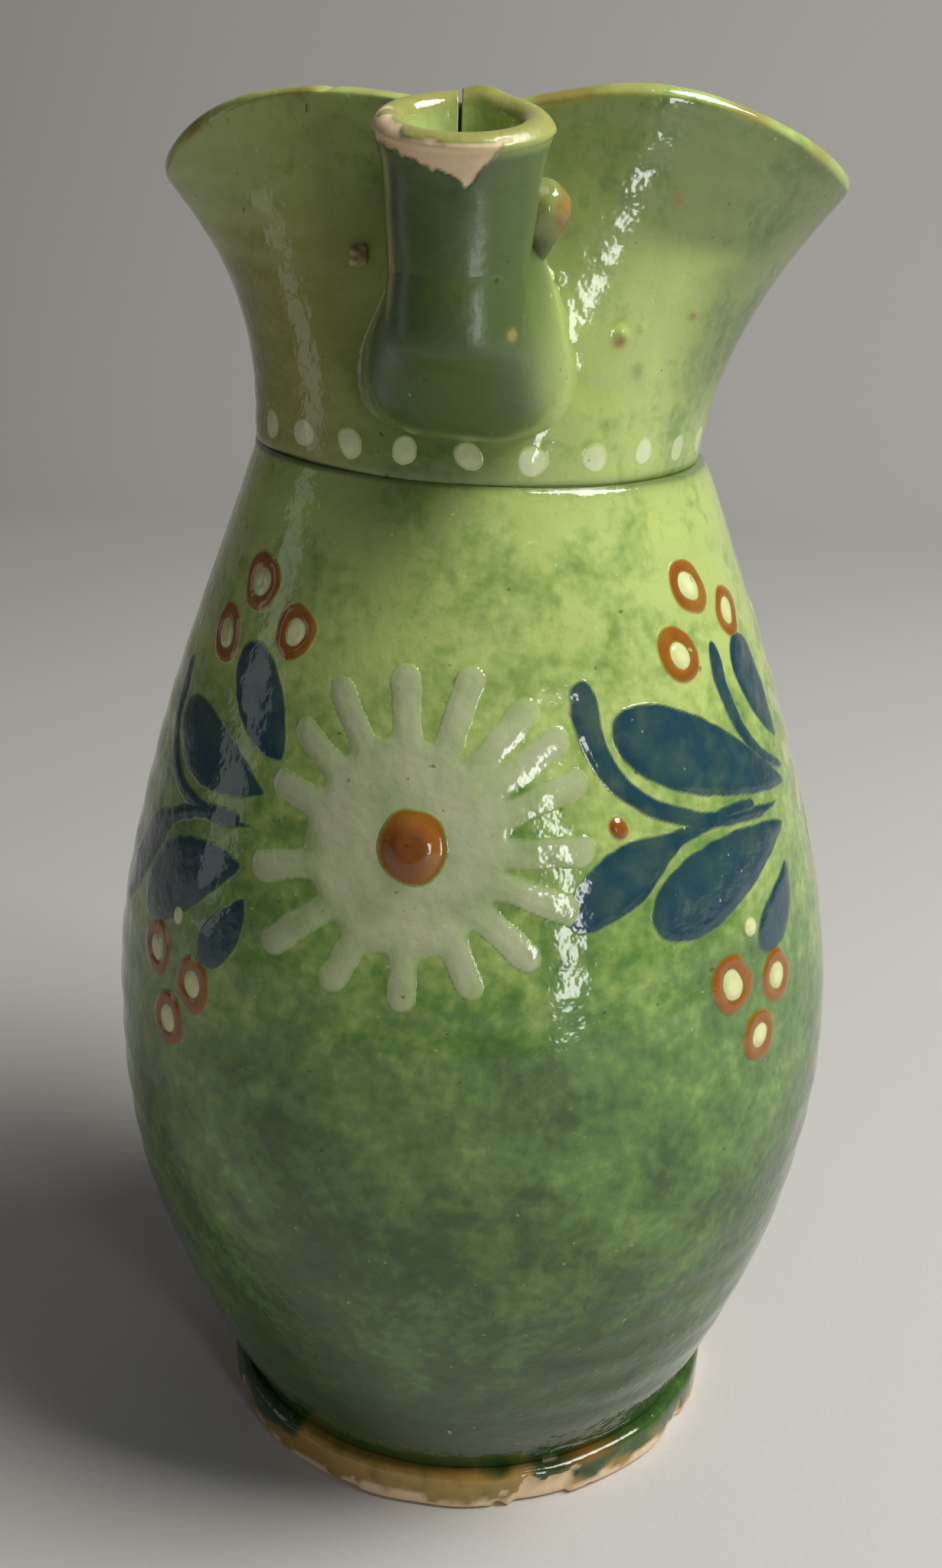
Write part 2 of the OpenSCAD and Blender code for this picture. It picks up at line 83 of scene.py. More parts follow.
# %% [markdown]
# ## The wall of the belly
# A potter pulls the belly up on the wheel. Its outline is one smooth curve, and the fingers leave shallow
# spiral rings and slow swellings. A lathe modifier would give a perfect surface. Here the outline is a
# function of height and direction, so the same function can later carry the painted marks on the wall.

# %% Measures of the belly, in millimetres
FOOT_R, FOOT_H = 41.0, 6.5
FOOT_SEAT_R = 36.0
BELLY_FOOT_R, BELLY_R, BELLY_Z = 39.0, 57.0, 68.0
FOOT_SPREAD, SHOULDER_SLOPE = 0.48, 0.38
BELLY_WALL, FLOOR_T = 5.0, 8.0
JOINT_Z, JOINT_R, JOINT_STEP = 160.0, 32.5, 0.5
NECK_LEAN = math.radians(2.5)
WHEEL_PITCH, WHEEL_DEEP, SWELL_DEEP, BELLY_SUNK = 7.5, 0.08, 0.24, 0.34


def smooth(x):
    """Soft step from 0 to 1 while x goes from 0 to 1."""
    x = np.clip(x, 0, 1)
    return x * x * (3 - 2 * x)


def lumps(points, size, seed, waves=16):
    """Slow swellings about `size` mm across, between -1 and 1, the same in each run."""
    draw = np.random.default_rng(seed)
    ways = draw.normal(size=(waves, 3))
    ways *= (2 * np.pi / size * draw.uniform(0.6, 1.4, waves) / np.linalg.norm(ways, axis=1))[:, None]
    waves_sum = np.sin(points @ ways.T + draw.uniform(0, 2 * np.pi, waves)).sum(-1)
    return np.clip(waves_sum / math.sqrt(waves * 1.1), -1, 1)


def around(radius, az, z):
    """Point at an azimuth that runs from the front towards +X."""
    radius, az, z = np.broadcast_arrays(radius, az, z)
    return np.stack([radius * np.sin(az), -radius * np.cos(az), z], -1)


def az_of(points):
    """Azimuth of points, from the front towards +X."""
    return np.arctan2(points[..., 0], -points[..., 1])


def bell(x, wide):
    """Soft bump of height 1 round x = 0."""
    return np.exp(-((x / wide) ** 2))


def hermite(t, p0, p1, m0, m1):
    """Curve from p0 to p1 that leaves with slope m0 and arrives with slope m1."""
    return ((2 * t**3 - 3 * t**2 + 1) * p0 + (t**3 - 2 * t**2 + t) * m0
            + (3 * t**2 - 2 * t**3) * p1 + (t**3 - t**2) * m1)


def belly_rad(z):
    """Radius of the belly's outline at a height."""
    low_h, high_h = BELLY_Z - FOOT_H, JOINT_Z - BELLY_Z
    t = np.clip((z - BELLY_Z) / high_h, 0, 1)
    low = hermite((z - FOOT_H) / low_h, BELLY_FOOT_R, BELLY_R, FOOT_SPREAD * low_h, 0)
    high = hermite(t, BELLY_R, JOINT_R + JOINT_STEP, 0, -SHOULDER_SLOPE * high_h)
    return np.where(z < BELLY_Z, low, high)


def belly_skin(az, z, lift=0.0):
    """Point on the outside of the belly, raised by lift along the wall's normal."""
    az, z = np.broadcast_arrays(az, np.asarray(z, float))
    r = belly_rad(z)
    rings = np.sin(2 * np.pi * z / WHEEL_PITCH + az)
    spot = around(r, az, z)
    r = r - BELLY_SUNK + WHEEL_DEEP * rings * lumps(spot, 70, 1) + SWELL_DEEP * lumps(spot, 38, 2)
    slope = (belly_rad(z + 0.1) - belly_rad(z - 0.1)) / 0.2
    length = np.sqrt(1 + slope**2)
    return around(r + lift / length, az, z - lift * slope / length)


print("belly radius at 115 mm:", round(float(belly_rad(np.array(115.0))), 2))

# %% [markdown]
# ## Helpers for skins
# Most pieces are skins over rings of points, like a stack of hoops. One helper joins the rings, one makes
# the Blender object, and one stores how the glaze lies at each vertex: `thin` where it has run off
# an edge, `bare` where clay shows, `pool` where it has gathered, `rust` where iron stains it and
# `worn` where it is rubbed dull. The thin and pooled coats are also laid as painted shade on the neck's
# left, round and under the tube and low on the belly. The finishes read these layers.

# %% Skins over rings
def skin(rings, close=False):
    """Vertices and faces over closed rings (m, n, 3). An open stack gets a fan at both ends."""
    m, n = rings.shape[:2]
    verts = rings.reshape(-1, 3)
    row = np.arange(m if close else m - 1)[:, None] * n
    col = np.arange(n)[None]
    nxt = (col + 1) % n
    up_row = (row + n) % (m * n)
    faces = np.stack([row + col, row + nxt, up_row + nxt, up_row + col], -1).reshape(-1, 4).tolist()
    if not close:
        ends = [rings[0].mean(0), rings[-1].mean(0)]
        verts = np.vstack([verts, ends])
        for middle, start in ((m * n, 0), (m * n + 1, (m - 1) * n)):
            faces += [[middle, start + i, start + (i + 1) % n] for i in range(n)]
    return verts, faces


def make_piece(name, verts, faces):
    """Blender object with smooth shading, from points in millimetres."""
    mesh = bpy.data.meshes.new(name)
    mesh.from_pydata((np.asarray(verts) * MM).tolist(), [], faces)
    work = bmesh.new()
    work.from_mesh(mesh)
    bmesh.ops.recalc_face_normals(work, faces=work.faces)
    work.to_mesh(mesh)
    work.free()
    mesh.shade_smooth()
    piece = bpy.data.objects.new(name, mesh)
    bpy.context.scene.collection.objects.link(piece)
    return piece


def points_of(piece):
    """The piece's vertices in millimetres."""
    flat = np.empty(len(piece.data.vertices) * 3)
    piece.data.vertices.foreach_get("co", flat)
    return flat.reshape(-1, 3) / MM


def lay_glaze(piece, **layers):
    """Stores a number per vertex under each name, for the finishes to read."""
    for name, values in layers.items():
        store = piece.data.attributes.new(name, "FLOAT", "POINT")
        values = np.broadcast_to(np.asarray(values, np.float32), len(piece.data.vertices))
        store.data.foreach_set("value", np.ascontiguousarray(values))


dressed = {}


def stand_for(piece, slot, *nodes):
    """The piece rides on the jug, stands for these CAD nodes and gets the finish of this slot."""
    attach(piece, "root")
    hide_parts(*nodes)
    dressed[piece] = slot
    print(piece.name, len(piece.data.vertices), "vertices")


# %% [markdown]
# ## Belly
# The belly is hollow, with a thick floor, and its top edge leans with the neck. Where belly and neck meet,
# the potter left a groove, so both edges are rounded off there and glaze gathers in the gap.

# %% Belly
AROUND = 400
FLOOR_ROUND, FLOOR_ROUND_H = 7, 9
turn = np.linspace(0, 2 * np.pi, AROUND, endpoint=False)
joint_r = JOINT_R + JOINT_STEP
GROOVE, GROOVE_H, GROOVE_POOL, GROOVE_POOL_H = 0.3, 0.6, 0.7, 0.7
BARE_BELOW, LOW_SHADE, LOW_SHADE_TOP, LOW_SHADE_H = 5.5, 0.9, 32, 28


def joint_height(radius, az):
    """Height of the leaning joint plane."""
    return JOINT_Z - radius * np.sin(az) * math.tan(NECK_LEAN)


share = np.linspace(0, 1, 230)[:, None]
top_out = joint_height(joint_r, turn)
outer_z = FOOT_H + share * (top_out - FOOT_H)
belly_out = belly_skin(turn, outer_z)
groove_cut = GROOVE * np.exp(-(top_out - outer_z) / GROOVE_H)
belly_out -= around(groove_cut, turn, 0)
inner_share = np.linspace(1, 0, 70)[:, None]
top_in = joint_height(joint_r - BELLY_WALL, turn)
inner_z = FLOOR_T + inner_share**1.3 * (top_in - FLOOR_T)
floor_round = FLOOR_ROUND * (1 - smooth((inner_z - FLOOR_T) / FLOOR_ROUND_H)) ** 2
belly_in = around(belly_rad(inner_z) - BELLY_WALL - floor_round, turn, inner_z)
underside = np.stack([around(r, turn, z) for r, z in (
    (12, 0.4), (24, 0.3), (FOOT_SEAT_R - 1, 0.1), (FOOT_SEAT_R - 0.2, 0.3), (FOOT_SEAT_R - 0.2, 6.4))])
belly_floor = np.stack([around(r, turn, FLOOR_T) for r in (24.0, 12.0)])
belly = make_piece("belly", *skin(np.concatenate([underside, belly_out, belly_in, belly_floor])))
at = points_of(belly)
from_joint = np.abs(at[:, 2] - joint_height(np.hypot(at[:, 0], at[:, 1]), az_of(at)))
in_groove = GROOVE_POOL * np.exp(-from_joint / GROOVE_POOL_H)
# Painted shadow of the tube: deep green on the shoulder below it, left of the middle
painted_tube_shadow = 0.55 * bell(at[:, 0] + 6, 10) * bell(from_joint, 14) * (at[:, 1] < 0)
# Painted shade: deep green that grows towards the bottom of the belly
low_pool = LOW_SHADE * smooth((LOW_SHADE_TOP - at[:, 2]) / LOW_SHADE_H)
lay_glaze(belly, thin=0.0, bare=at[:, 2] < BARE_BELOW, pool=np.maximum(in_groove, painted_tube_shadow) + low_pool)
stand_for(belly, "green_glaze", "belly", "shoulder")

# %% [markdown]
# ## Foot ring
# The foot is a thick flange turned on the wheel. It is the part that the potter holds when the jug is
# dipped, so the glaze is thin and ochre there, the lower edge is bare, and years of standing have chipped
# it. The chips are dents in the geometry, because they catch the light.

# %% Foot ring
FOOT_ROUND = 1.3
arc = np.linspace(-np.pi / 2, 0, 7)
low_edge = [(FOOT_R - FOOT_ROUND * (1 - np.cos(a)), FOOT_ROUND * (1 + np.sin(a))) for a in arc]
high_edge = [(FOOT_R - FOOT_ROUND * (1 + np.sin(a)), FOOT_H - FOOT_ROUND * (1 - np.cos(a))) for a in arc]
outline = [(FOOT_SEAT_R, 0), (FOOT_SEAT_R + 2, 0)] + low_edge
outline += [(FOOT_R, z) for z in (2.2, 3.0, 3.8, 4.6)] + high_edge
outline += [(FOOT_R - 2.4, FOOT_H), (FOOT_SEAT_R, FOOT_H)]
rings = np.stack([around(r, turn, z) for r, z in outline])
# Azimuth and half width in degrees, depth and height in millimetres of each chip
CHIPS = ((24, 8, 0.8, 3.6), (-62, 3, 0.5, 1.5), (66, 4, 0.6, 1.6), (140, 6, 0.7, 1.8), (-150, 4, 0.6, 2.0),
         (-20, 2, 0.3, 1.2))
chip = np.zeros(rings.shape[:2])
torn = 1 + 0.35 * lumps(rings, 3, 11)
for az_deg, half, deep, tall in CHIPS:
    off_deg = (np.degrees(turn)[None] - az_deg + 180) % 360 - 180
    reach = np.sqrt((off_deg / half) ** 2 + (np.maximum(rings[..., 2] - 1, 0) / tall) ** 2) * torn
    chip = np.maximum(chip, deep * smooth((1.15 - reach) / 0.3))
proud = np.hypot(rings[..., 0], rings[..., 1]) - FOOT_SEAT_R
pull = (0.18 + 0.16 * lumps(rings, 14, 12) + chip) * smooth(proud / 3)
rings -= around(pull, turn, 0)
foot_ring = make_piece("foot_ring", *skin(rings, close=True))
print("foot ring with", len(CHIPS), "chips")

# %% Glaze on the foot
# The ochre wash stands highest in front, a green run covers it at the sides, and one patch is rusty
OCHRE_MID, OCHRE_HALF, RUST_MID, RUST_HALF = -8, 18, 37, 6
at = points_of(foot_ring)
az_foot = np.degrees(az_of(at))
ochre_top = FOOT_H + 2.5 - 5 * smooth((np.abs(az_foot - OCHRE_MID) - OCHRE_HALF) / 24)
glaze_end = 1.7 + 0.9 * lumps(at, 16, 13) + 0.5 * lumps(at, 4, 14)
lay_glaze(foot_ring, bare=np.maximum(smooth((glaze_end - at[:, 2]) / 0.5), smooth(chip.reshape(-1) / 0.25)),
          thin=smooth((ochre_top + 1.6 * lumps(at, 9, 15) - at[:, 2]) / 2.2), pool=0.0,
          rust=0.7 * bell(az_foot - RUST_MID, RUST_HALF) * smooth((at[:, 2] - 4.5) / 1.5))
stand_for(foot_ring, "thin_glaze_foot", "foot_ring")

# %% [markdown]
# ## Neck
# The neck is thrown as a trumpet and then pinched and pulled by hand: two ears stand up in front and the
# sides droop outwards like lips. Its wall follows one curve per direction. Small pimples of grit under the
# glaze and a nick in the rim belong to this jug, so they are part of the surface function.

# %% Measures and wall of the neck
NECK_WALL, NECK_PULL = 4.0, 40.0
RIM_FRONT_R, RIM_RIGHT_R, RIM_LEFT_R, RIM_BACK_R = 29.5, 48.9, 46.3, 40.0
EAR_H, LIP_H, LEFT_DROP, EAR_ANGLE = 48.0, 38.0, 4.0, math.radians(36)
RIGHT_FLARE, LEFT_FLARE, FRONT_FLARE = math.radians(35), math.radians(42), math.radians(5)
RIM_ROUND, LIP_ROUNDER, NECK_SUNK = 1.2, 0.8, 0.26
THROW_PITCH, THROW_DEEP, HAND_DEEP = 4.6, 0.04, 0.2
lean = np.array(Matrix.Rotation(NECK_LEAN, 3, "Y"))


def at_neck(points):
    """From the neck's own frame, which stands on the joint, to the jug's."""
    return points @ lean.T + np.array([0, 0, JOINT_Z])


def to_neck(points):
    """From the jug's frame back to the neck's own."""
    return (points - [0, 0, JOINT_Z]) @ lean


def by_side(az, at_left, at_right):
    """Value that runs smoothly from the left side to the right one."""
    return (at_left + at_right) / 2 + (at_right - at_left) / 2 * np.sin(az)


# The hand's small waves on the rim: height, azimuth and how narrow
HAND_WAVES = ((1.2, 1.2, 12), (1.07, -1.15, 12), (-0.95, 1.69, 20), (-0.45, -1.69, 20))


def rim_wave(az):
    """Two ears in front, two behind and a dip at each side."""
    return np.cos(2 * az) - np.cos(4 * az) / (4 * math.cos(2 * EAR_ANGLE))


def neck_wall(az, t, depth=0.0, lift=0.0):
    """Point in the neck's frame: t runs from joint to rim, depth into the wall, lift past the rim."""
    ends_r = (RIM_FRONT_R + RIM_BACK_R) / 2
    side_r = by_side(az, RIM_LEFT_R, RIM_RIGHT_R)
    rim_r = ((side_r + ends_r) / 2 - (RIM_BACK_R - RIM_FRONT_R) / 2 * np.cos(az)
             - (side_r - ends_r) / 2 * np.cos(2 * az))
    low, high = rim_wave(math.pi / 2), rim_wave(EAR_ANGLE)
    rim_h = LIP_H + (EAR_H - LIP_H) * (rim_wave(az) - low) / (high - low)
    rim_h = rim_h - LEFT_DROP * np.maximum(0, -np.sin(az)) ** 1.5
    for height, middle, narrow in HAND_WAVES:
        rim_h = rim_h + height * np.exp(narrow * (np.cos(az - middle) - 1))
    flare = FRONT_FLARE + (by_side(az, LEFT_FLARE, RIGHT_FLARE) - FRONT_FLARE) * np.sin(az) ** 4
    pull_r, pull_z = NECK_PULL * np.sin(flare), NECK_PULL * np.cos(flare)

    def curve(s):
        return hermite(s, JOINT_R, rim_r, 0, pull_r), hermite(s, 0, rim_h, NECK_PULL, pull_z)

    (r, z), (r_low, z_low), (r_high, z_high) = curve(t), curve(t - 0.01), curve(t + 0.01)
    dr, dz = r_high - r_low, z_high - z_low
    length = np.hypot(dr, dz)
    return around(r - depth * dz / length + lift * dr / length, az,
                  z + depth * dr / length + lift * dz / length)


# Azimuth in degrees, share of the height, radius and height of each pimple of grit
PIMPLES = ((39.5, 0.411, 1.0, 0.8), (44.6, 0.432, 0.6, 0.4), (23.8, 0.55, 0.6, 0.4), (58.2, 0.481, 0.6, 0.3))


def neck_skin(az, t, lift=0.0):
    """Point on the outside of the neck in the jug's frame, uneven as the wheel and the hand left it."""
    az, t = np.broadcast_arrays(np.asarray(az, float), np.asarray(t, float))
    spot = neck_wall(az, t)
    h = spot[..., 2]
    rings = np.sin(2 * np.pi * h / THROW_PITCH + az)
    sunk = NECK_SUNK + THROW_DEEP * rings * lumps(spot, 40, 21) + HAND_DEEP * lumps(spot, 26, 22)
    sunk = sunk + GROOVE * np.exp(-h / GROOVE_H)
    for az_deg, height, wide, tall in PIMPLES:
        middle = neck_wall(np.radians(az_deg), height)
        sunk = sunk - tall * np.exp(-((np.linalg.norm(spot - middle, axis=-1) / wide) ** 2) * 1.6)
    return at_neck(neck_wall(az, t, sunk - lift))


rim_z = at_neck(neck_wall(turn, 1.0))[:, 2]
print("neck rim from", np.round(rim_z.min(), 1), "to", np.round(rim_z.max(), 1), "mm high")

# %% Neck
NECK_AROUND = 480
neck_turn = np.linspace(0, 2 * np.pi, NECK_AROUND, endpoint=False)
rise = np.linspace(0, 1, 110)[:, None]
outside = neck_skin(neck_turn, rise)
over = np.linspace(0, np.pi, 11)[1:-1, None]
NICK_DEEP, NICK_DEG, NICK_HALF = 0.7, 360 - 33, 1.0
nick = NICK_DEEP * bell(np.degrees(neck_turn) - NICK_DEG, NICK_HALF)
rim_uneven = 0.35 * lumps(around(RIM_BACK_R, neck_turn, 0.0), 30, 23) - 0.4 - nick
rim_round = RIM_ROUND + LIP_ROUNDER * np.sin(neck_turn) ** 4 + rim_uneven
rim = at_neck(neck_wall(neck_turn, 1.0, NECK_SUNK + (NECK_WALL / 2 - NECK_SUNK) * (1 - np.cos(over)),
                        rim_round * np.sin(over)))
inside = at_neck(neck_wall(neck_turn, rise[::-1], NECK_WALL - NECK_SUNK * rise[::-1]))
neck = make_piece("neck", *skin(np.concatenate([outside, rim, inside]), close=True))

# %% Glaze on the neck
# Share, azimuth in degrees, share of the height, width and height of each rusty spot and of one green one
RUST_SPOTS = ((0.6, 47.4, 0.74, 0.4, 1.6), (0.8, 39.5, 0.395, 0.9, 0.9), (0.6, 58.2, 0.475, 0.7, 0.6))
GREEN_SPOT = (0.5, 45.2, 0.323, 1.0, 1.1)


def soft_spots(own, *spots):
    """Small round spots on the neck's outside."""
    off = [own - neck_wall(np.radians(az_deg), t) for _, az_deg, t, _, _ in spots]
    return sum(share * bell(np.hypot(o[:, 0], o[:, 1]), wide) * bell(o[:, 2], tall)
               for o, (share, _, _, wide, tall) in zip(off, spots))


def left_shade_share(az):
    """Share of painted shade left of the tube, laid as olive glaze."""
    return smooth((np.radians(-8) - az) / 0.6)


def painted_root_shadow(own):
    """Painted shadow of the tube: deep green round and below its foot."""
    return 0.7 * bell(own[:, 0] + 3, 14) * smooth((27 - own[:, 2]) / 14) * (own[:, 1] < 0)


at = points_of(neck)
own = to_neck(at)
az_own = az_of(own)
rows = np.concatenate([rise[:, 0], np.full(len(over), 1.0), rise[::-1, 0]])
t_at = np.repeat(rows, NECK_AROUND)
on_outside = np.repeat(np.arange(len(rows)) < len(rise), NECK_AROUND)
# Thin at the rim, olive painted shade low on the left, thick on the ears and at both sides, and deep green
# as painted shadow below the tube's foot; azimuths are in radians
rim_edge = 0.8 * smooth((0.5 + 0.7 * lumps(at, 12, 24) - (1 - t_at) * 50) / 1.2)
low_left_shade = left_shade_share(az_own) * smooth((az_own + 2.2) / 0.8) * (1 - 0.7 * smooth((t_at - 0.5) / 0.3))
upper = by_side(az_own, 0.1, 0.65) * smooth((t_at - 0.45 + 0.1 * lumps(at, 22, 25)) / 0.3)
far_right = 0.55 * smooth((az_own - 0.85) / 0.35) * smooth((2.3 - az_own) / 0.6)
far_left = 0.45 * smooth((-0.85 - az_own) / 0.4) * smooth((az_own + 2.3) / 0.6)
far_right, far_left = far_right * smooth((t_at - 0.05) / 0.3), far_left * smooth((0.75 - t_at) / 0.3)
thick = on_outside * (1 - rim_edge) * np.maximum.reduce([upper, far_right, far_left, painted_root_shadow(own)])
in_groove = GROOVE_POOL * np.exp(-np.maximum(own[:, 2], 0) / GROOVE_POOL_H)
# The neck's left gets painted shade as olive and deep green
lay_glaze(neck, thin=np.clip(rim_edge + 0.55 * low_left_shade, 0, 1), bare=0.0, rust=soft_spots(own, *RUST_SPOTS),
          pool=np.maximum.reduce([in_groove, thick, 0.15 * on_outside * low_left_shade,
                                  soft_spots(own, GREEN_SPOT)]))
stand_for(neck, "green_glaze", "neck")

# %% [markdown]
# ## Drinking tube
# The tube was rolled from a slab round a stick. Its seam is open at the back near the mouth, where one end
# of the slab stands a little higher and further out than the other. The glaze has flaked off the front of
# the lip in a ragged band. A C-shaped section is swept round the stick, so that the seam is a real gap.

# %% Measures of the tube
TUBE_FOOT_R, TUBE_LIP_R, TUBE_BORE_R, MOUTH_R = 8.6, 10.8, 6.0, 6.7
SEAM_Z, MOUTH_Z, MOUTH_TILT = 21.0, 45.7, math.radians(15)
SLIT_W, SLIT_DEPTH, SEAM_TURN = 0.4, 10.0, math.radians(11)
TUBE_X, TUBE_Y = 1.5, RIM_FRONT_R + (TUBE_FOOT_R + TUBE_LIP_R) / 2 - 0.6
TUBE_SWAY, LIP_ROUND, TUBE_LOW = 0.025, 2.2, SEAM_Z - 2
KNOB_H, KNOB_AT, KNOB_HALF, MOUTH_SUNK = 0.8, 2.85, 0.3, 0.5
BROWN_DEG, BROWN_HALF = -62, 6


def tube_rad(h):
    """Radius of the tube's outside, which flares towards the lip."""
    t = np.clip((h - SEAM_Z) / (MOUTH_Z - SEAM_Z), 0, 1)
    return hermite(t, TUBE_FOOT_R, TUBE_LIP_R, 0, 2 * (TUBE_LIP_R - TUBE_FOOT_R))


def tube_top(slab):
    """Height of the tilted mouth along the slab; its right end stands up in a small knob at the seam."""
    knob = KNOB_H * bell(slab - KNOB_AT, KNOB_HALF)
    tilt = (TUBE_LIP_R + MOUTH_R) / 2 * np.cos(slab + SEAM_TURN) * math.tan(MOUTH_TILT)
    return MOUTH_Z - tilt + knob - MOUTH_SUNK


def around_tube(radius, az, h):
    """Point round the tube's axis, which sways a little to the left as it rises."""
    spot = around(radius, az, h) + np.array([TUBE_X, -TUBE_Y, 0])
    spot[..., 0] -= TUBE_SWAY * (spot[..., 2] - SEAM_Z)
    return spot


def brown_line(deg, h):
    """Upright brown line down the tube's left side."""
    return bell(deg - BROWN_DEG, BROWN_HALF) * smooth((h - 20) / 5) * smooth((42 - h) / 3)


def painted_tube_shade(x):
    """Painted shade on the tube, deepest at its front and left and gone towards its right."""
    return 0.87 * smooth((17 - x) / 8)


print("tube", round(MOUTH_Z - SEAM_Z, 1), "mm tall")

# %% Skin of the tube
slab = np.linspace(-np.pi, np.pi, 260)[None]
up_share = np.linspace(0, 1, 90)[:, None]
top = tube_top(slab)
h_out = TUBE_LOW + up_share * (top - LIP_ROUND - TUBE_LOW)
over = np.linspace(0, np.pi, 19)[1:-1, None]
lip_mid, lip_half = (TUBE_LIP_R + MOUTH_R) / 2, (TUBE_LIP_R - MOUTH_R) / 2
r_lip = lip_mid + lip_half * np.cos(over) + 0 * slab
h_lip = top - LIP_ROUND + LIP_ROUND * np.sin(over)
h_in = TUBE_LOW + up_share[::-2] * (top - LIP_ROUND - TUBE_LOW)
r_in = TUBE_BORE_R + (MOUTH_R - TUBE_BORE_R) * smooth((h_in - top + 8) / 6)
radius = np.concatenate([tube_rad(h_out), r_lip, r_in])
height = np.concatenate([h_out, h_lip, h_in])
below_lip = top - height
open_seam = SLIT_W / 2 / TUBE_BORE_R * smooth((SLIT_DEPTH - below_lip) / 3)
facing = SEAM_TURN + slab * (1 - (open_seam + 0.004) / np.pi)
spot = around_tube(radius, facing, height)
outer_side = np.concatenate([np.ones(len(h_out)), np.cos(over[:, 0]) > -0.2, np.zeros(len(h_in))])[:, None]
slab_end = 0.5 * smooth((slab - 2.3) / 0.7) * smooth((height - 33) / 8)
lip_roll = 0.35 * outer_side * bell(below_lip - 2.4, 2.0)
radius = radius - 0.16 + 0.14 * lumps(spot, 16, 31) + slab_end + lip_roll
print("tube skin of", radius.size, "points")

# %% Flaked lip and glaze of the tube
FLAKE_DEEP = 0.22
deg = np.degrees(slab + SEAM_TURN)
flake_low = 3.4 + 2.2 * bell(deg - 6, 14) - 2.4 * smooth((deg - 14) / 36)
flake_low = flake_low + 0.5 * lumps(spot, 5, 32) + 0.25 * lumps(spot, 1.6, 33)
flake_high = 1.1 * smooth((deg + 48) / 22) + 0.3 * lumps(spot, 3, 34)
flaked = smooth((flake_low - below_lip) / 0.25) * smooth((below_lip - flake_high) / 0.3)
flaked = flaked * outer_side * smooth((deg + 100) / 10) * smooth((58 - deg) / 8)
radius = radius - FLAKE_DEEP * flaked
sections = np.swapaxes(at_neck(around_tube(radius, facing, height)), 0, 1)
front_tube = make_piece("front_tube", *skin(sections))
lip_thin = 0.55 * smooth((2.6 - below_lip) / 1.4)
side_line = brown_line(deg, height)
# Painted shade: the tube's outside is drawn deep green except towards its right
deep = outer_side * smooth((below_lip - 1.5) / 2) * painted_tube_shade(spot[..., 0])
layers = {"bare": flaked, "thin": lip_thin, "pool": deep * (1 - side_line), "rust": 0.45 * side_line,
          "worn": outer_side}
lay_glaze(front_tube, **{name: np.append(np.swapaxes(layer + 0 * height, 0, 1).reshape(-1), [0, 0])
                         for name, layer in layers.items()})
stand_for(front_tube, "green_glaze", "front_tube")

# %% [markdown]
# ## Luting clay on clay
# The tube's root and the handle are pressed on with wet clay, and a wet finger smooths the joint. Boolean
# unions leave hard creases. A voxel remesh melts overlapping lumps into one skin, and a few rounds of
# smoothing round off the creases. A sliver of the wall goes into the melt, just under the wall's surface,
# so that the joint runs out into the wall and no edge shows.

# %% Melting lumps of clay together
def melt(name, lumps_of_clay, voxel, rounds):
    """One smooth skin over overlapping closed skins."""
    verts, faces, start = [], [], 0
    for v, f in lumps_of_clay:
        verts.append(v)
        faces += [[i + start for i in face] for face in f]
        start += len(v)
    rough = make_piece(name + "_rough", np.vstack(verts), faces)
    fuse = rough.modifiers.new("fuse", "REMESH")
    fuse.mode, fuse.voxel_size, fuse.adaptivity = "VOXEL", voxel * MM, 0
    finger = rough.modifiers.new("finger", "SMOOTH")
    finger.factor, finger.iterations = 0.5, rounds
    ready = rough.evaluated_get(bpy.context.evaluated_depsgraph_get())
    piece = bpy.data.objects.new(name, bpy.data.meshes.new_from_object(ready))
    piece.data.name = name
    bpy.context.scene.collection.objects.link(piece)
    piece.data.shade_smooth()
    bpy.data.objects.remove(rough)
    return piece


def hull_of(points):
    """Closed skin stretched over points."""
    work = bmesh.new()
    for p in points:
        work.verts.new(p)
    bmesh.ops.convex_hull(work, input=work.verts)
    bmesh.ops.delete(work, geom=[v for v in work.verts if not v.link_faces], context="VERTS")
    work.verts.index_update()
    result = np.array([v.co for v in work.verts]), [[v.index for v in f.verts] for f in work.faces]
    work.free()
    return result


def ball(middle, radii, steps=20):
    """Points on an ellipsoid."""
    a = np.linspace(0, 2 * np.pi, 2 * steps, endpoint=False)[:, None]
    b = np.linspace(-np.pi / 2, np.pi / 2, steps)[None]
    unit = np.stack([np.cos(b) * np.cos(a), np.cos(b) * np.sin(a), np.sin(b) + 0 * a], -1).reshape(-1, 3)
    return np.asarray(middle) + unit * np.asarray(radii)


def wall_sliver(outer_side, inner_side):
    """Closed slab between two grids of points (m, n, 3)."""
    return skin(np.concatenate([outer_side, inner_side[:, ::-1]], 1))


UNDER_WALL, SLIVER = 0.12, 2.4
print("slivers of wall are", SLIVER - UNDER_WALL, "mm thick")

# %% Root of the tube
ROOT_SWELL_R, ROOT_HALF_W, ROOT_LOW_Z = 8.0, 4.0, 14.0
circle = np.linspace(0, 2 * np.pi, 48, endpoint=False)
collar = [around_tube(TUBE_FOOT_R + 0.7, circle, h) for h in (SEAM_Z - 1.5, SEAM_Z)]
swells = [ball((TUBE_X + side * ROOT_HALF_W, ROOT_SWELL_R - TUBE_Y, ROOT_LOW_Z), [ROOT_SWELL_R + 0.7] * 3)
          for side in (-1, 1)]
chin = hull_of(np.vstack(collar + swells))
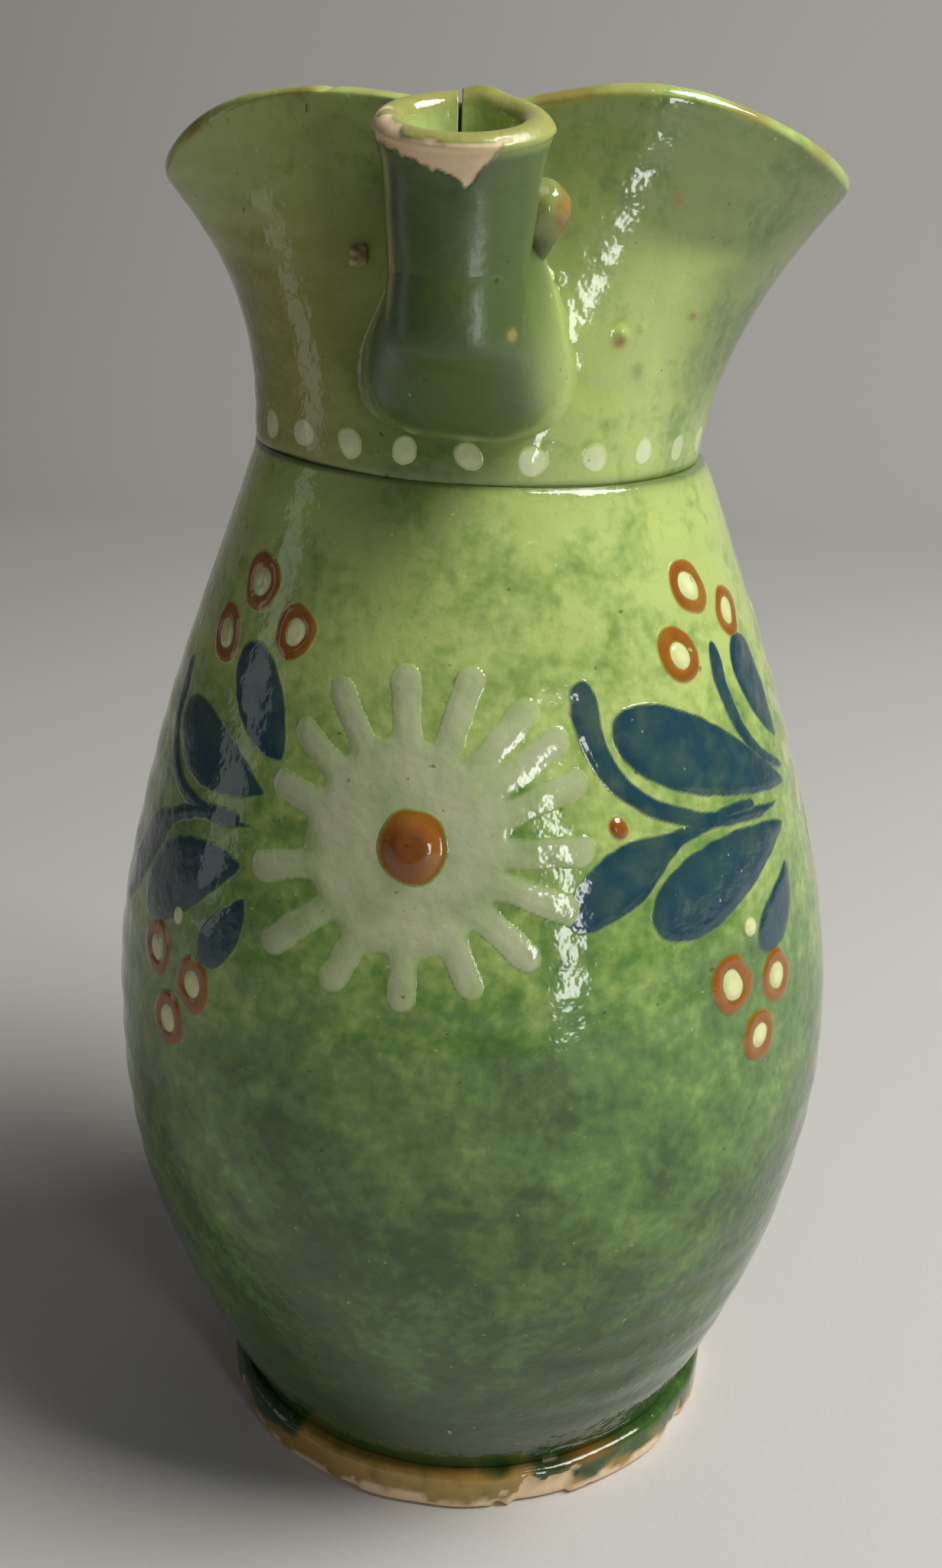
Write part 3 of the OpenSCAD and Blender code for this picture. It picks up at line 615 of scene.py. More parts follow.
# Radius and height of the clay that was drawn up round the tube
DRAWN_UP = ((9.3, 17), (9.25, 21), (9.1, 24), (8.85, 27), (8.35, 29.5), (6.8, 31))
stub = skin(np.stack([around_tube(r, circle, h) for r, h in DRAWN_UP]))
web = hull_of(np.vstack([ball((9.3, -33.5, 22), (3.4, 4.2, 5)), ball((8.1, -32.6, 31), (2.4, 2.4, 5)),
                         ball((12.5, -31.5, 16), (3.2, 2.2, 4))]))
left_web = hull_of(np.vstack([ball((-5.7, -32.8, 25), (2.4, 3, 5)), ball((-8.5, -32, 17), (2.4, 2.6, 4))]))
sliver_az = np.radians(np.linspace(-52, 52, 60))[None]
sliver_t = np.linspace(0.14, 0.8, 60)[:, None]
wall = wall_sliver(neck_skin(sliver_az, sliver_t, -UNDER_WALL), neck_skin(sliver_az, sliver_t, -SLIVER))
parts = [(at_neck(v), f) for v, f in (chin, stub, web, left_web)] + [wall]
tube_root = melt("tube_root", parts, 0.5, 140)

# %% Glaze on the root
FOOT_CHIP_DEG, FOOT_CHIP_Z = 54, 20.6
own = to_neck(points_of(tube_root))
proud = np.hypot(own[:, 0], own[:, 1]) - JOINT_R
deg = np.degrees(np.arctan2(own[:, 0] - TUBE_X, -own[:, 1] - TUBE_Y))
side_line = brown_line(deg, own[:, 2]) * smooth(proud / 4)
chip_at = bell(deg - FOOT_CHIP_DEG, 4) * bell(own[:, 2] - FOOT_CHIP_Z, 0.5)
# Painted shade and shadow: deep green on the root as on the tube, below the tube's foot, and olive on the
# wall left of it
deep = smooth(proud / 4) * painted_tube_shade(own[:, 0])
lay_glaze(tube_root, bare=0.0, thin=0.6 * left_shade_share(az_of(own)) * (1 - smooth(proud / 5)),
          pool=np.maximum(deep * (1 - side_line), painted_root_shadow(own)) * (1 - chip_at),
          rust=np.clip(0.45 * side_line + chip_at, 0, 1), worn=smooth(proud / 4))
stand_for(tube_root, "green_glaze", "tube_root")

# %% [markdown]
# ## Lumps of spare clay
# A drop of clay bridges the gap between tube and neck on the right, drawn to a point below, and a pellet
# sits on the left. Both are a thumb's squeeze of clay, so they are melted from balls and stay uneven.

# %% Bridge and pellet
def unsmooth(piece, size, deep, seed):
    """Pushes the skin in by up to deep mm, unevenly."""
    at = points_of(piece)
    flat = np.empty(len(at) * 3)
    piece.data.vertices.foreach_get("normal", flat)
    moved = at - flat.reshape(-1, 3) * (deep * (0.5 + 0.5 * lumps(at, size, seed)))[:, None]
    piece.data.vertices.foreach_set("co", (moved * MM).ravel())
    piece.data.update()
    return moved


BRIDGE_AT, BRIDGE_R, BRIDGE_DROP, BRIDGE_TIP_R = np.array([10.1, -33.5, 34.8]), 3.9, 5.6, 1.2
drop = hull_of(at_neck(np.vstack([ball(BRIDGE_AT, [BRIDGE_R] * 3),
                                  ball(BRIDGE_AT - [0, 0, BRIDGE_DROP], [BRIDGE_TIP_R] * 3)])))
right_bridge = melt("right_bridge", [drop], 0.3, 10)
at = unsmooth(right_bridge, 5, 0.5, 41)
rightward = (at - at.mean(0))[:, 0]
# Painted shade: the drop is drawn deeper green towards its point below
lay_glaze(right_bridge, bare=0.0, thin=0.3, pool=0.4 + 0.4 * smooth((at.mean(0)[2] - at[:, 2]) / 4),
          rust=0.65 * smooth((rightward - 2.1 + 0.4 * lumps(at, 3, 42)) / 0.9))
stand_for(right_bridge, "green_glaze", "right_bridge")

PELLET_R, PELLET_DEG, PELLET_SHARE = 1.5, -24, 0.585
pellet = hull_of(at_neck(ball(neck_wall(np.radians(PELLET_DEG), PELLET_SHARE),
                              [PELLET_R, PELLET_R, PELLET_R * 1.2])))
left_pellet = melt("left_pellet", [pellet], 0.2, 4)
at = unsmooth(left_pellet, 2.0, 0.7, 43)
# Pale clay, ochre and rust on the pellet: partly its thin glaze and partly a painted glint
lay_glaze(left_pellet, bare=0.3, thin=0.6, pool=0.0, rust=0.4 + 0.3 * lumps(at, 1.5, 44))
stand_for(left_pellet, "green_glaze", "left_pellet")

# %% [markdown]
# ## Handle
# A strap handle is pulled from a roll of clay with a wet hand. The thumb leaves a shallow groove along its
# back, and both ends are spread out where they are pressed to the wall. It is swept along a curve. Its ends
# are pushed back into the clay of the wall, so that none shows in the hollow. Then it is melted on to a
# sliver of the neck's wall and of the belly's wall.

# %% Handle
HANDLE_TOP_Z, HANDLE_LOW_Z, HANDLE_REACH, HANDLE_RISE = 24.0, 104.0, 44.0, 26.0
HANDLE_W, HANDLE_T, HANDLE_ROOT, SEAT_DEPTH, SPREAD_LONG = 22.0, 11.0, 3.0, 2.2, 0.06
p0 = np.array([0, JOINT_R - HANDLE_ROOT, JOINT_Z + HANDLE_TOP_Z])
p3 = np.array([0, float(belly_rad(np.array(HANDLE_LOW_Z))) - HANDLE_ROOT, HANDLE_LOW_Z])
p1, p2 = p0 + [0, HANDLE_REACH, HANDLE_RISE], p3 + [0, HANDLE_REACH, HANDLE_T]
t = np.linspace(0, 1, 70)[:, None]
line = (1 - t) ** 3 * p0 + 3 * t * (1 - t) ** 2 * p1 + 3 * t**2 * (1 - t) * p2 + t**3 * p3
rate = 3 * (1 - t) ** 2 * (p1 - p0) + 6 * t * (1 - t) * (p2 - p1) + 3 * t**2 * (p3 - p2)
rate /= np.linalg.norm(rate, axis=1)[:, None]
away = np.stack([0 * t[:, 0], -rate[:, 2], rate[:, 1]], -1)
turn_strap = np.linspace(0, 2 * np.pi, 48, endpoint=False)[None]
spread = 1 - 0.02 + 0.4 * np.exp(-t / SPREAD_LONG) + 0.4 * np.exp(-(1 - t) / SPREAD_LONG)
thumb = 1 - 0.3 * bell(np.cos(turn_strap), 0.5) * (np.sin(turn_strap) > 0)
strap = (line[:, None] + (HANDLE_W / 2 * spread * np.cos(turn_strap))[..., None] * np.array([1, 0, 0])
         + (HANDLE_T / 2 * 0.98 * thumb * np.sin(turn_strap))[..., None] * away[:, None])
print("strap", HANDLE_W, "mm wide and", HANDLE_T, "mm thick")

# %% Handle on its walls
own = to_neck(strap)
tries = neck_wall(az_of(own)[..., None], np.linspace(0, 1, 60))
level = np.abs(tries[..., 2] - own[..., 2:]).argmin(-1)[..., None]
neck_r = np.take_along_axis(np.hypot(tries[..., 0], tries[..., 1]), level, -1)[..., 0]
wall_r = np.where(own[..., 2] > 0, neck_r, belly_rad(strap[..., 2]))
out = np.maximum(1, (wall_r - SEAT_DEPTH) / np.hypot(strap[..., 0], strap[..., 1]))
strap = strap * np.stack([out, out, np.ones_like(out)], -1)
back_az = np.pi + np.radians(np.linspace(-42, 42, 50))[None]
neck_t = np.linspace(0.15, 0.97, 50)[:, None]
neck_sliver = wall_sliver(neck_skin(back_az, neck_t, -UNDER_WALL), neck_skin(back_az, neck_t, -SLIVER))
low_z = np.linspace(82, 130, 50)[:, None]
low_az = np.pi + np.radians(np.linspace(-30, 30, 50))[None]
belly_sliver = wall_sliver(belly_skin(low_az, low_z, -UNDER_WALL), belly_skin(low_az, low_z, -SLIVER))
handle = melt("handle", [skin(strap), neck_sliver, belly_sliver], 0.7, 12)
at = points_of(handle)
edge = smooth((np.abs(at[:, 0]) - 8.2 + 1.2 * lumps(at, 9, 51)) / 2) * smooth((at[:, 1] - 52) / 8)
lay_glaze(handle, bare=0.0, thin=0.7 * edge, pool=0.3 * smooth((lumps(at, 20, 52) - 0.2) / 0.6))
stand_for(handle, "green_glaze", "handle")

# %% [markdown]
# ## Hidden duct
# What makes the jug a puzzle is inside: a clay pipe stands on the floor, and a knuckle joins it to a hole in
# the neck behind the tube. It is bare clay and plain. The CAD solids have the right shape, so they stay, and
# modifiers only take off their sharp edges.

# %% Pipe and knuckle
for node, voxel, rounds in (("dip_pipe", 0.7, 6), ("pipe_elbow", 0.6, 8)):
    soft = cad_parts[node].modifiers.new("soft_edges", "REMESH")
    soft.mode, soft.voxel_size, soft.use_smooth_shade = "VOXEL", voxel * MM, True
    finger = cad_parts[node].modifiers.new("finger", "SMOOTH")
    finger.factor, finger.iterations = 0.5, rounds
    print(node, "softened at", voxel, "mm")

# %% [markdown]
# ## Slip marks
# The flowers and leaves are slip, which is clay thinned to cream, trailed and brushed on the raw pot. Under
# the glaze each mark is a very low relief with soft edges. A texture could paint them, but the relief is
# real. Each mark is a fine patch of the wall that is raised by how deep a point lies inside the mark's
# outline. Outside that outline the patch shows plain glaze and dips under the wall, so no edge shows.

# %% Patches of slip on a wall
MARK_STEP, MARK_EDGE, MARK_BLUR, MARK_BACK, MARK_MARGIN, MARK_DIP = 0.4, 0.04, 0.2, 0.8, 0.7, 0.6


def slip_mark(reach, depth, spot, thick=0.14, soft=1.0, step=MARK_STEP, over=0.0):
    """One closed patch, `over` mm above the wall: depth(u, v) is how far a point lies inside the mark."""
    u, v = np.meshgrid(np.arange(reach[0], reach[2] + step, step),
                       np.arange(reach[1], reach[3] + step, step))
    inside = depth(u, v)
    lift = over + MARK_EDGE + thick * smooth(inside / soft)
    lift = lift + (MARK_DIP + over) * np.minimum(inside + MARK_BLUR, 0)
    near = inside > -MARK_MARGIN
    cells = near[:-1, :-1] & near[1:, :-1] & near[:-1, 1:] & near[1:, 1:]
    corner = np.arange(u.size).reshape(u.shape)
    quads = np.stack([corner[:-1, :-1], corner[:-1, 1:], corner[1:, 1:], corner[1:, :-1]], -1)[cells]
    edges = np.concatenate([quads[:, [i, (i + 1) % 4]] for i in range(4)])
    seen = set(map(tuple, edges.tolist()))
    border = np.array([[b, a, a + u.size, b + u.size] for a, b in sorted(seen) if (b, a) not in seen])
    faces = np.concatenate([quads, quads[:, ::-1] + u.size, border])
    front = spot(u, v, lift).reshape(-1, 3)
    back = spot(u, v, np.full_like(u, -MARK_BACK)).reshape(-1, 3)
    used, numbers = np.unique(faces, return_inverse=True)
    cover = np.tile(smooth((inside.ravel() + MARK_BLUR) / (2 * MARK_BLUR)), 2)[used]
    heart = np.tile(smooth(inside.ravel() / 3.5), 2)[used]
    return np.vstack([front, back])[used], numbers.reshape(faces.shape), cover, heart


def make_marks(name, marks, slot, pale=0.0):
    """One piece from several patches."""
    starts = np.cumsum([0] + [len(m[0]) for m in marks])
    faces = np.concatenate([m[1] + s for m, s in zip(marks, starts)]).tolist()
    piece = make_piece(name, np.vstack([m[0] for m in marks]), faces)
    lay_glaze(piece, cover=np.concatenate([m[2] for m in marks]), thin=0.0, bare=0.0, pool=0.0, pale=pale,
              heart=np.concatenate([m[3] for m in marks]))
    stand_for(piece, slot, name)
    return piece


def on_belly(az_deg, z_mid):
    """Wall finder: u runs along the belly to the right and v up."""
    def spot(u, v, lift):
        z = z_mid + v
        return belly_skin(np.radians(az_deg) + u / belly_rad(z), z, lift)
    return spot


def stroke(u, v, path, half):
    """How deep a point lies inside a brush stroke: a row of discs along a path."""
    reach = np.hypot(u[..., None] - path[:, 0], v[..., None] - path[:, 1])
    return (half - reach).max(-1)


def ragged(u, v, size, deep, seed):
    """Unevenness of an outline."""
    return deep * lumps(np.stack([u, v, 0 * u], -1), size, seed)


# %% [markdown]
# ## Daisies
# A daisy is a pool of white slip. Before it dried, a finger or a stick drew sixteen rays out of it, so the
# rays are fat, blunt and uneven. A raised brown boss sits in its middle.

# %% Daisies and bosses
DAISY_Z, DAISY_R, DISC_R, RAY_HALF = 115.5, 23.1, 13.6, 1.85
BOSS_R, BOSS_H, SIDE_BOSS_H = 4.7, 1.1, 0.6
# Direction and length of the front daisy's rays, in degrees and millimetres, and the middle of its disc
FRONT_RAYS = ((20, 24), (36, 24), (51, 23.3), (73, 23.3), (96, 22.7), (121, 23.1), (142, 22.1),
              (164, 21.8), (194, 24.5), (217, 26.5), (240, 22.7), (268, 21.3), (296, 21.1), (319, 23),
              (339, 25), (358, 24.4))
DISC_AT = (-1.2, -0.4)
SOFT_MAX = 2.6


def daisy_depth(angles, lengths, seed):
    """Disc and rays that run softly into each other."""
    along = np.linspace(0.3, 1, 16)[:, None]

    def depth(u, v):
        inside = [DISC_R + ragged(u, v, 9, 0.5, seed) - np.hypot(u - DISC_AT[0], v - DISC_AT[1])]
        for angle, length in zip(np.radians(angles), lengths):
            path = along * (length - RAY_HALF) * np.array([np.cos(angle), np.sin(angle)])
            inside.append(stroke(u, v, path, RAY_HALF * (0.78 + 0.24 * along[:, 0])))
        joined = np.log(np.exp(SOFT_MAX * np.clip(inside, -8, 4)).sum(0)) / SOFT_MAX
        return np.maximum(joined, inside[0]) + ragged(u, v, 4, 0.12, seed + 1)
    return depth


def boss_depth(u, v):
    """Disc with a slightly uneven edge."""
    return BOSS_R - np.hypot(u, v) * (1 + ragged(u, v, 6, 0.04, 63))


for side, az_deg, seed in (("front", -2, 61), ("right", 106, 65), ("left", -110, 69)):
    draw = np.random.default_rng(seed)
    if side == "front":
        rays, lengths = np.array(FRONT_RAYS).T
    else:
        rays = np.arange(16) * 22.5 + draw.uniform(-5, 5, 16)
        lengths = DAISY_R * draw.uniform(0.93, 1.05, 16)
    far = lengths.max() + 1
    make_marks("daisy_" + side, [slip_mark((-far, -far, far, far), daisy_depth(rays, lengths, seed),
                                           on_belly(az_deg, DAISY_Z))], "white_slip")
    boss_h = BOSS_H if side == "front" else SIDE_BOSS_H
    boss = slip_mark((-6, -6, 6, 6), boss_depth, on_belly(az_deg, DAISY_Z), boss_h, 3.0, 0.25, 0.2)
    make_marks("boss_" + side, [boss], "brown_slip")
    print(side, "daisy with", len(rays), "rays")

# %% [markdown]
# ## Leaf sprays and berries
# The leaves are single touches of a loaded brush with dark blue slip. Each mark is a curve with a width
# along it: a leaf swells and closes, a stroke starts thin and ends round. Berries are brown rings with a
# cream dot.

# %% Leaves
SPRAY_Z, RIGHT_SPRAY, LEFT_SPRAY = 113.0, 74, -25


def bend(a, b, c, steps=140):
    """Points on a curve from a to c, drawn towards b."""
    t = np.linspace(0, 1, steps)[:, None]
    return (1 - t) ** 2 * np.array(a) + 2 * t * (1 - t) * np.array(b) + t**2 * np.array(c)


def leaf_shape(t):
    """Width along a leaf, which swells and closes."""
    return 1.64 * t**0.8 * np.sqrt(1 - t**3)


def stroke_shape(t):
    """Width along a stroke that starts thin and ends round."""
    return (0.35 + 0.65 * t) * np.sqrt(1 - np.maximum(0, 10 * t - 9) ** 2) * np.minimum(1, 10 * t)


def tail_shape(t):
    """Width along a leaf with a long thin stalk."""
    return (0.28 + 0.72 * smooth((t - 0.4) / 0.35)) * np.sqrt(1 - np.maximum(0, (t - 0.72) / 0.28) ** 2)


# Start, bend and end of each mark beside the spray's root, its width and its shape
RIGHT_LEAVES = (((-2, 0.2), (-43.8, 1), (-34.5, 22.5), 4.2, stroke_shape),
                ((0.8, 1.7), (-20, 10.7), (-31, 15.5), 11.2, leaf_shape),
                ((-12, 1.8), (-30, 4), (-46.5, -7.8), 7.5, tail_shape),
                ((-3.6, -2.9), (-19, -4), (-33.5, -9.5), 10.6, leaf_shape),
                ((2.7, 3.5), (-14, 9), (-10.4, 24), 3.4, stroke_shape),
                ((2.5, 8), (-1, 14.5), (-3.5, 22.3), 8.6, leaf_shape),
                ((-5.5, -8.2), (-7.5, -14), (-15, -17), 7.0, leaf_shape))
LEFT_LEAVES = (((-3, 1.6), (-36, -2), (-29, 18), 4.0, stroke_shape),
               ((-3.5, 6), (-16, 8), (-25.5, 11), 10.0, leaf_shape),
               ((-8, 1.5), (-27, 2), (-40, -19), 7.0, tail_shape),
               ((-5.5, -4), (-16, -6), (-28, -15), 10.5, leaf_shape),
               ((-1.5, 11), (-6, 15), (-11, 22.5), 9.0, leaf_shape),
               ((-4, -8), (-6, -13), (-11, -18), 6.0, leaf_shape))


def leaf_mark(a, b, c, wide, shape, spot, seed):
    """One touch of the brush along a curve."""
    path = bend(a, b, c)
    half = wide / 2 * shape(np.linspace(0, 1, len(path)))
    low, high = path.min(0) - wide / 2 - 1, path.max(0) + wide / 2 + 1

    def depth(u, v):
        return stroke(u, v, path, half) + ragged(u, v, 3, 0.1, seed)
    return slip_mark((*low, *high), depth, spot, 0.09, 1.2, 0.3)


for side, az_deg, leaves, seed in (("right", RIGHT_SPRAY, RIGHT_LEAVES, 81),
                                   ("left", LEFT_SPRAY, LEFT_LEAVES, 91)):
    wall_at = on_belly(az_deg, SPRAY_Z)
    touches = [leaf_mark(*leaf, wall_at, seed + i) for i, leaf in enumerate(leaves)]
    make_marks(side + "_leaves", touches, "blue_slip")
    print(side, "spray with", len(touches), "touches of the brush")

# %% Berries and drops
# Place beside the spray's root and radius of each berry
BERRIES = ((-11.7, 32, 3.8), (-3.2, 27, 3.6), (-18, 24, 3.8), (-23.3, -20.8, 4.1), (-13, -22.9, 3.9),
           (-18.6, -30, 3.9))
BERRY_HOLE, DROP_R = 0.48, 1.4
CREAM_DOT, STRAY_DROP = (-17.8, -14.2), (-36.5, 4)


def ring_depth(u0, v0, radius, hole, seed):
    """Ring, or a full disc where hole is 0."""
    def depth(u, v):
        away = np.hypot(u - u0, v - v0) + ragged(u, v, 6, 0.3, seed)
        return np.minimum(radius - away, away - hole) if hole else radius - away
    return depth


def round_mark(u0, v0, radius, hole, spot, seed, thick=0.16, soft=0.8):
    """Patch for one ring, dot or drop."""
    reach = (u0 - radius - 1, v0 - radius - 1, u0 + radius + 1, v0 + radius + 1)
    return slip_mark(reach, ring_depth(u0, v0, radius, hole, seed), spot, thick, soft, 0.25)


for side, az_deg, seed in (("right", RIGHT_SPRAY, 101), ("left", LEFT_SPRAY, 111)):
    wall_at = on_belly(az_deg, SPRAY_Z)
    berry_rings = [round_mark(u, v, r, BERRY_HOLE * r, wall_at, seed + i)
                   for i, (u, v, r) in enumerate(BERRIES)]
    cream = [round_mark(u, v, BERRY_HOLE * r, 0, wall_at, seed + i, 0.2)
             for i, (u, v, r) in enumerate(BERRIES)]
    cream.append(round_mark(*CREAM_DOT, DROP_R, 0, wall_at, seed + 8, 0.2))
    make_marks(side + "_berry_rings", berry_rings, "brown_slip")
    make_marks(side + "_cream_dots", cream, "cream_slip")
stray = round_mark(*STRAY_DROP, DROP_R, 0, on_belly(RIGHT_SPRAY, SPRAY_Z), 119, 0.4)
make_marks("stray_drop", [stray], "brown_slip")
print(len(BERRIES), "berries in each spray")

# %% Dots round the neck
DOT_COUNT, DOT_TURN, DOT_SHARE, DOT_R = 24, 5, 0.09, 1.75
SHARE_PER_MM = 1 / 42


def on_neck(az_deg):
    """Wall finder for a dot just above the joint of the neck."""
    def spot(u, v, lift):
        return neck_skin(np.radians(az_deg) + u / JOINT_R, DOT_SHARE + v * SHARE_PER_MM, lift)
    return spot


draw = np.random.default_rng(131)
dots = [round_mark(*draw.uniform(-0.3, 0.3, 2), DOT_R * draw.uniform(0.88, 1.04), 0,
                   on_neck(DOT_TURN + 360 / DOT_COUNT * i), 140 + i, 0.07, 1.4) for i in range(DOT_COUNT)]
make_marks("neck_dots", dots, "white_slip", 1.0)
print(len(dots), "dots round the neck")

# %% [markdown]
# ## Finishes
# All finishes are node networks in the jug's own coordinates, so the glaze runs on from piece to piece
# without a seam. Colours are written as they look on a screen and turned into linear light by one function.
# One helper adds a node, sets it and links it. Sizes of patterns are real millimetres.

# %% Colours and nodes
def colour(code):
    """Linear RGBA of a colour that is written in sRGB."""
    part = np.array([int(code[i:i + 2], 16) for i in (1, 3, 5)]) / 255
    linear = np.where(part <= 0.04045, part / 12.92, ((part + 0.055) / 1.055) ** 2.4)
    return (*linear.tolist(), 1.0)


def add(tree, kind, into=None, **settings):
    """Adds a node; `into` gives each input, by name or number, a value or another node's output."""
    node = tree.nodes.new(kind)
    for name, value in settings.items():
        setattr(node, name, value)
    for key, value in (into or {}).items():
        if isinstance(value, bpy.types.NodeSocket):
            tree.links.new(value, node.inputs[key])
        else:
            node.inputs[key].default_value = value
    return node


NOISE, MIX, MATH, RANGE = "ShaderNodeTexNoise", "ShaderNodeMix", "ShaderNodeMath", "ShaderNodeMapRange"
VORONOI, RAMP, LAYER = "ShaderNodeTexVoronoi", "ShaderNodeValToRGB", "ShaderNodeAttribute"

# %% [markdown]
# ### Green lead glaze
# The jug was dipped in a clear lead glaze that copper turns green. It is thin and yellow-green where the
# clay shines through, deep green where it gathered, and ochre where it ran off an edge; the same deep green
# and olive are also painted as shade round the tube and low on the belly. It is as glossy as glass, full of
# fine cracks and pinholes, and its skin is a little wavy, which breaks up every reflection.
# The photograph could not be pasted on, because it holds light and shade. Noise at the sizes of the real
# clouds, blotches and grains builds the colour up in the same order as the real glaze.

# %% Colour of the glaze
GLAZE_IOR, GLAZE_ROUGH, CLAY_ROUGH, WORN = 1.58, 0.11, 0.82, 0.3
# Size in mm, detail and distortion of clouds, blotches and grains; the grains are drawn coarse, to show
GLAZE_NOISE = ((24, 3.0, 0.0), (8, 3.0, 0.6), (1.8, 2.0, 0.0))
CRACK_CELL, WAVE, RIPPLE, SKIN_RELIEF = 4.6, 7, 2.2, 0.22
# Size in mm, threshold, share and colour of pinholes and of pale grit; only their peaks show
SPECKS = ((1.6, 0.75, 0.6, "#2f3518"), (1.2, 0.76, 0.5, "#cdd3a0"))
GREENS = ((0.22, "#2a4119"), (0.42, "#3f5c2b"), (0.58, "#638541"), (0.70, "#8ba557"), (0.82, "#b2c472"))


def coats(tree, base, *layers):
    """Lays coats of colour over a base, one after the other, each by its own share."""
    for share, over in layers:
        below, above = (colour(c) if isinstance(c, str) else c for c in (base, over))
        base = add(tree, MIX, {0: share, 6: below, 7: above}, data_type="RGBA").outputs[2]
    return base


def glaze_under(tree, greens=GREENS):
    """The glaze's colour at a place of the jug, and what the other finishes need from it."""
    place = add(tree, "ShaderNodeTexCoord").outputs["Object"]
    layer = {name: add(tree, LAYER, attribute_name=name).outputs["Fac"]
             for name in ("thin", "bare", "pool", "rust", "worn", "cover", "heart", "pale")}
    clouds, blotches, grains = (
        add(tree, NOISE, {"Vector": place, "Scale": 1 / (size * MM), "Detail": detail,
                          "Distortion": stir}).outputs[0] for size, detail, stir in GLAZE_NOISE)
    height = add(tree, "ShaderNodeSeparateXYZ", {0: place}).outputs["Z"]
    # Tone rises with height: the lower belly is darker and the shoulder lighter, partly the glaze's own
    # colour and partly painted shade and light from above
    rise = add(tree, RANGE, {0: height, 1: 15 * MM, 2: 160 * MM, 3: -0.24, 4: 0.3}).outputs[0]
    tone = rise
    for noise, share in ((clouds, 0.42), (blotches, 0.42), (grains, 0.25)):
        tone = add(tree, MATH, {0: noise, 1: share, 2: tone}, operation="MULTIPLY_ADD").outputs[0]
    ramp = add(tree, RAMP, {0: tone})
    ramp.color_ramp.elements.remove(ramp.color_ramp.elements[1])
    for number, (stop, code) in enumerate(greens):
        mark = ramp.color_ramp.elements[0] if number == 0 else ramp.color_ramp.elements.new(stop)
        mark.position, mark.color = stop, colour(code)
    return ramp.outputs[0], place, layer, blotches, grains


def weather(tree, base, place, layer, grains):
    """Adds what time and the kiln did: thin edges, pools, cracks, pinholes and bare clay, and the painted
    shade that the thin and pooled coats carry.
    """
    edge = add(tree, VORONOI, {"Vector": place, "Scale": 1 / (CRACK_CELL * MM)}, feature="DISTANCE_TO_EDGE")
    # Real cracks are finer than a hair; these are 0.2 mm wide, so that they show
    crack = add(tree, RANGE, {0: edge.outputs[0], 1: 0.0, 2: 0.022, 3: 0.07, 4: 0.0}).outputs[0]
    # The ochre and deep green coats hold painted shade as well as thin and pooled glaze
    base = coats(tree, base, (layer["thin"], "#94803a"), (layer["pool"], "#2b4420"),
                 (layer["rust"], "#9a6a2e"), (crack, "#3c3c1a"))
    for size, start, most, code in SPECKS:
        specks = add(tree, NOISE, {"Vector": place, "Scale": 1 / (size * MM), "Detail": 1.0}).outputs[0]
        share = add(tree, RANGE, {0: specks, 1: start, 2: start + 0.05, 3: 0.0, 4: most}).outputs[0]
        base = coats(tree, base, (share, code))
    return coats(tree, base, (layer["bare"], coats(tree, "#dcbc94", (grains, "#f4dcb4"))))


def close_finish(tree, base, place, layer):
    """Shader with a wavy, glossy skin, worn where lips touch it and dull where the clay is bare."""
    waves = add(tree, NOISE, {"Vector": place, "Scale": 1 / (WAVE * MM), "Detail": 1.0}).outputs[0]
    ripple = add(tree, NOISE, {"Vector": place, "Scale": 1 / (RIPPLE * MM), "Detail": 2.0}).outputs[0]
    skin_height = add(tree, MATH, {0: ripple, 1: 0.6, 2: waves}, operation="MULTIPLY_ADD").outputs[0]
    bump = add(tree, "ShaderNodeBump", {"Height": skin_height, "Distance": SKIN_RELIEF * MM,
                                        "Strength": 1.0})
    dull = add(tree, MATH, {0: layer["worn"], 1: WORN, 2: layer["bare"]}, operation="MULTIPLY_ADD")
    rough = add(tree, RANGE, {0: dull.outputs[0], 3: GLAZE_ROUGH, 4: CLAY_ROUGH}).outputs[0]
    shader = add(tree, "ShaderNodeBsdfPrincipled", {"Base Color": base, "Roughness": rough, "IOR": GLAZE_IOR,
                                                    "Normal": bump.outputs[0]})
    add(tree, "ShaderNodeOutputMaterial", {0: shader.outputs[0]})


def new_finish(name):
    """Empty node network under the finish's name."""
    finish = bpy.data.materials.new(name)
    finish.use_nodes = True
    finish.node_tree.nodes.clear()
    finishes[name] = finish
    return finish.node_tree


finishes = {}
tree = new_finish("green_glaze")
base, place, layer, blotches, grains = glaze_under(tree)
close_finish(tree, weather(tree, base, place, layer, grains), place, layer)
print("green_glaze has", len(tree.nodes), "nodes")

# %% [markdown]
# ### Thin glaze on the foot
# Where the potter held the jug, only a wash of glaze reached the clay. It fired to ochre and rust, and some
# green ran down from the belly in patches.

# %% Foot
tree = new_finish("thin_glaze_foot")
base, place, layer, blotches, grains = glaze_under(tree)
RUST_PATCH = 17
patches = add(tree, NOISE, {"Vector": place, "Scale": 1 / (RUST_PATCH * MM), "Detail": 1.0}).outputs[0]
rust = add(tree, RANGE, {0: patches, 1: 0.6, 2: 0.7, 3: 0.0, 4: 0.7}).outputs[0]
wash = coats(tree, "#90753a", (grains, "#b8964c"), (rust, "#9b5f2c"))
run = add(tree, RANGE, {0: blotches, 1: 0.5, 2: 0.66, 3: 1.0, 4: 0.45}).outputs[0]
ochre = add(tree, MATH, {0: layer["thin"], 1: run}, operation="MULTIPLY").outputs[0]
base = coats(tree, base, (ochre, wash))
layer["thin"] = 0.0
close_finish(tree, weather(tree, base, place, layer, grains), place, layer)
print("thin_glaze_foot has", len(tree.nodes), "nodes")

# %% [markdown]
# ### Slips under the glaze
# White, blue, brown and cream slips are clays coloured with oxides. The glaze over them is clear, so each
# mark is glossy like the wall. Its colour is uneven where the brush left more or less, and its edge melts
# into the green, so every slip is laid over the same green by how far inside the mark a point is.

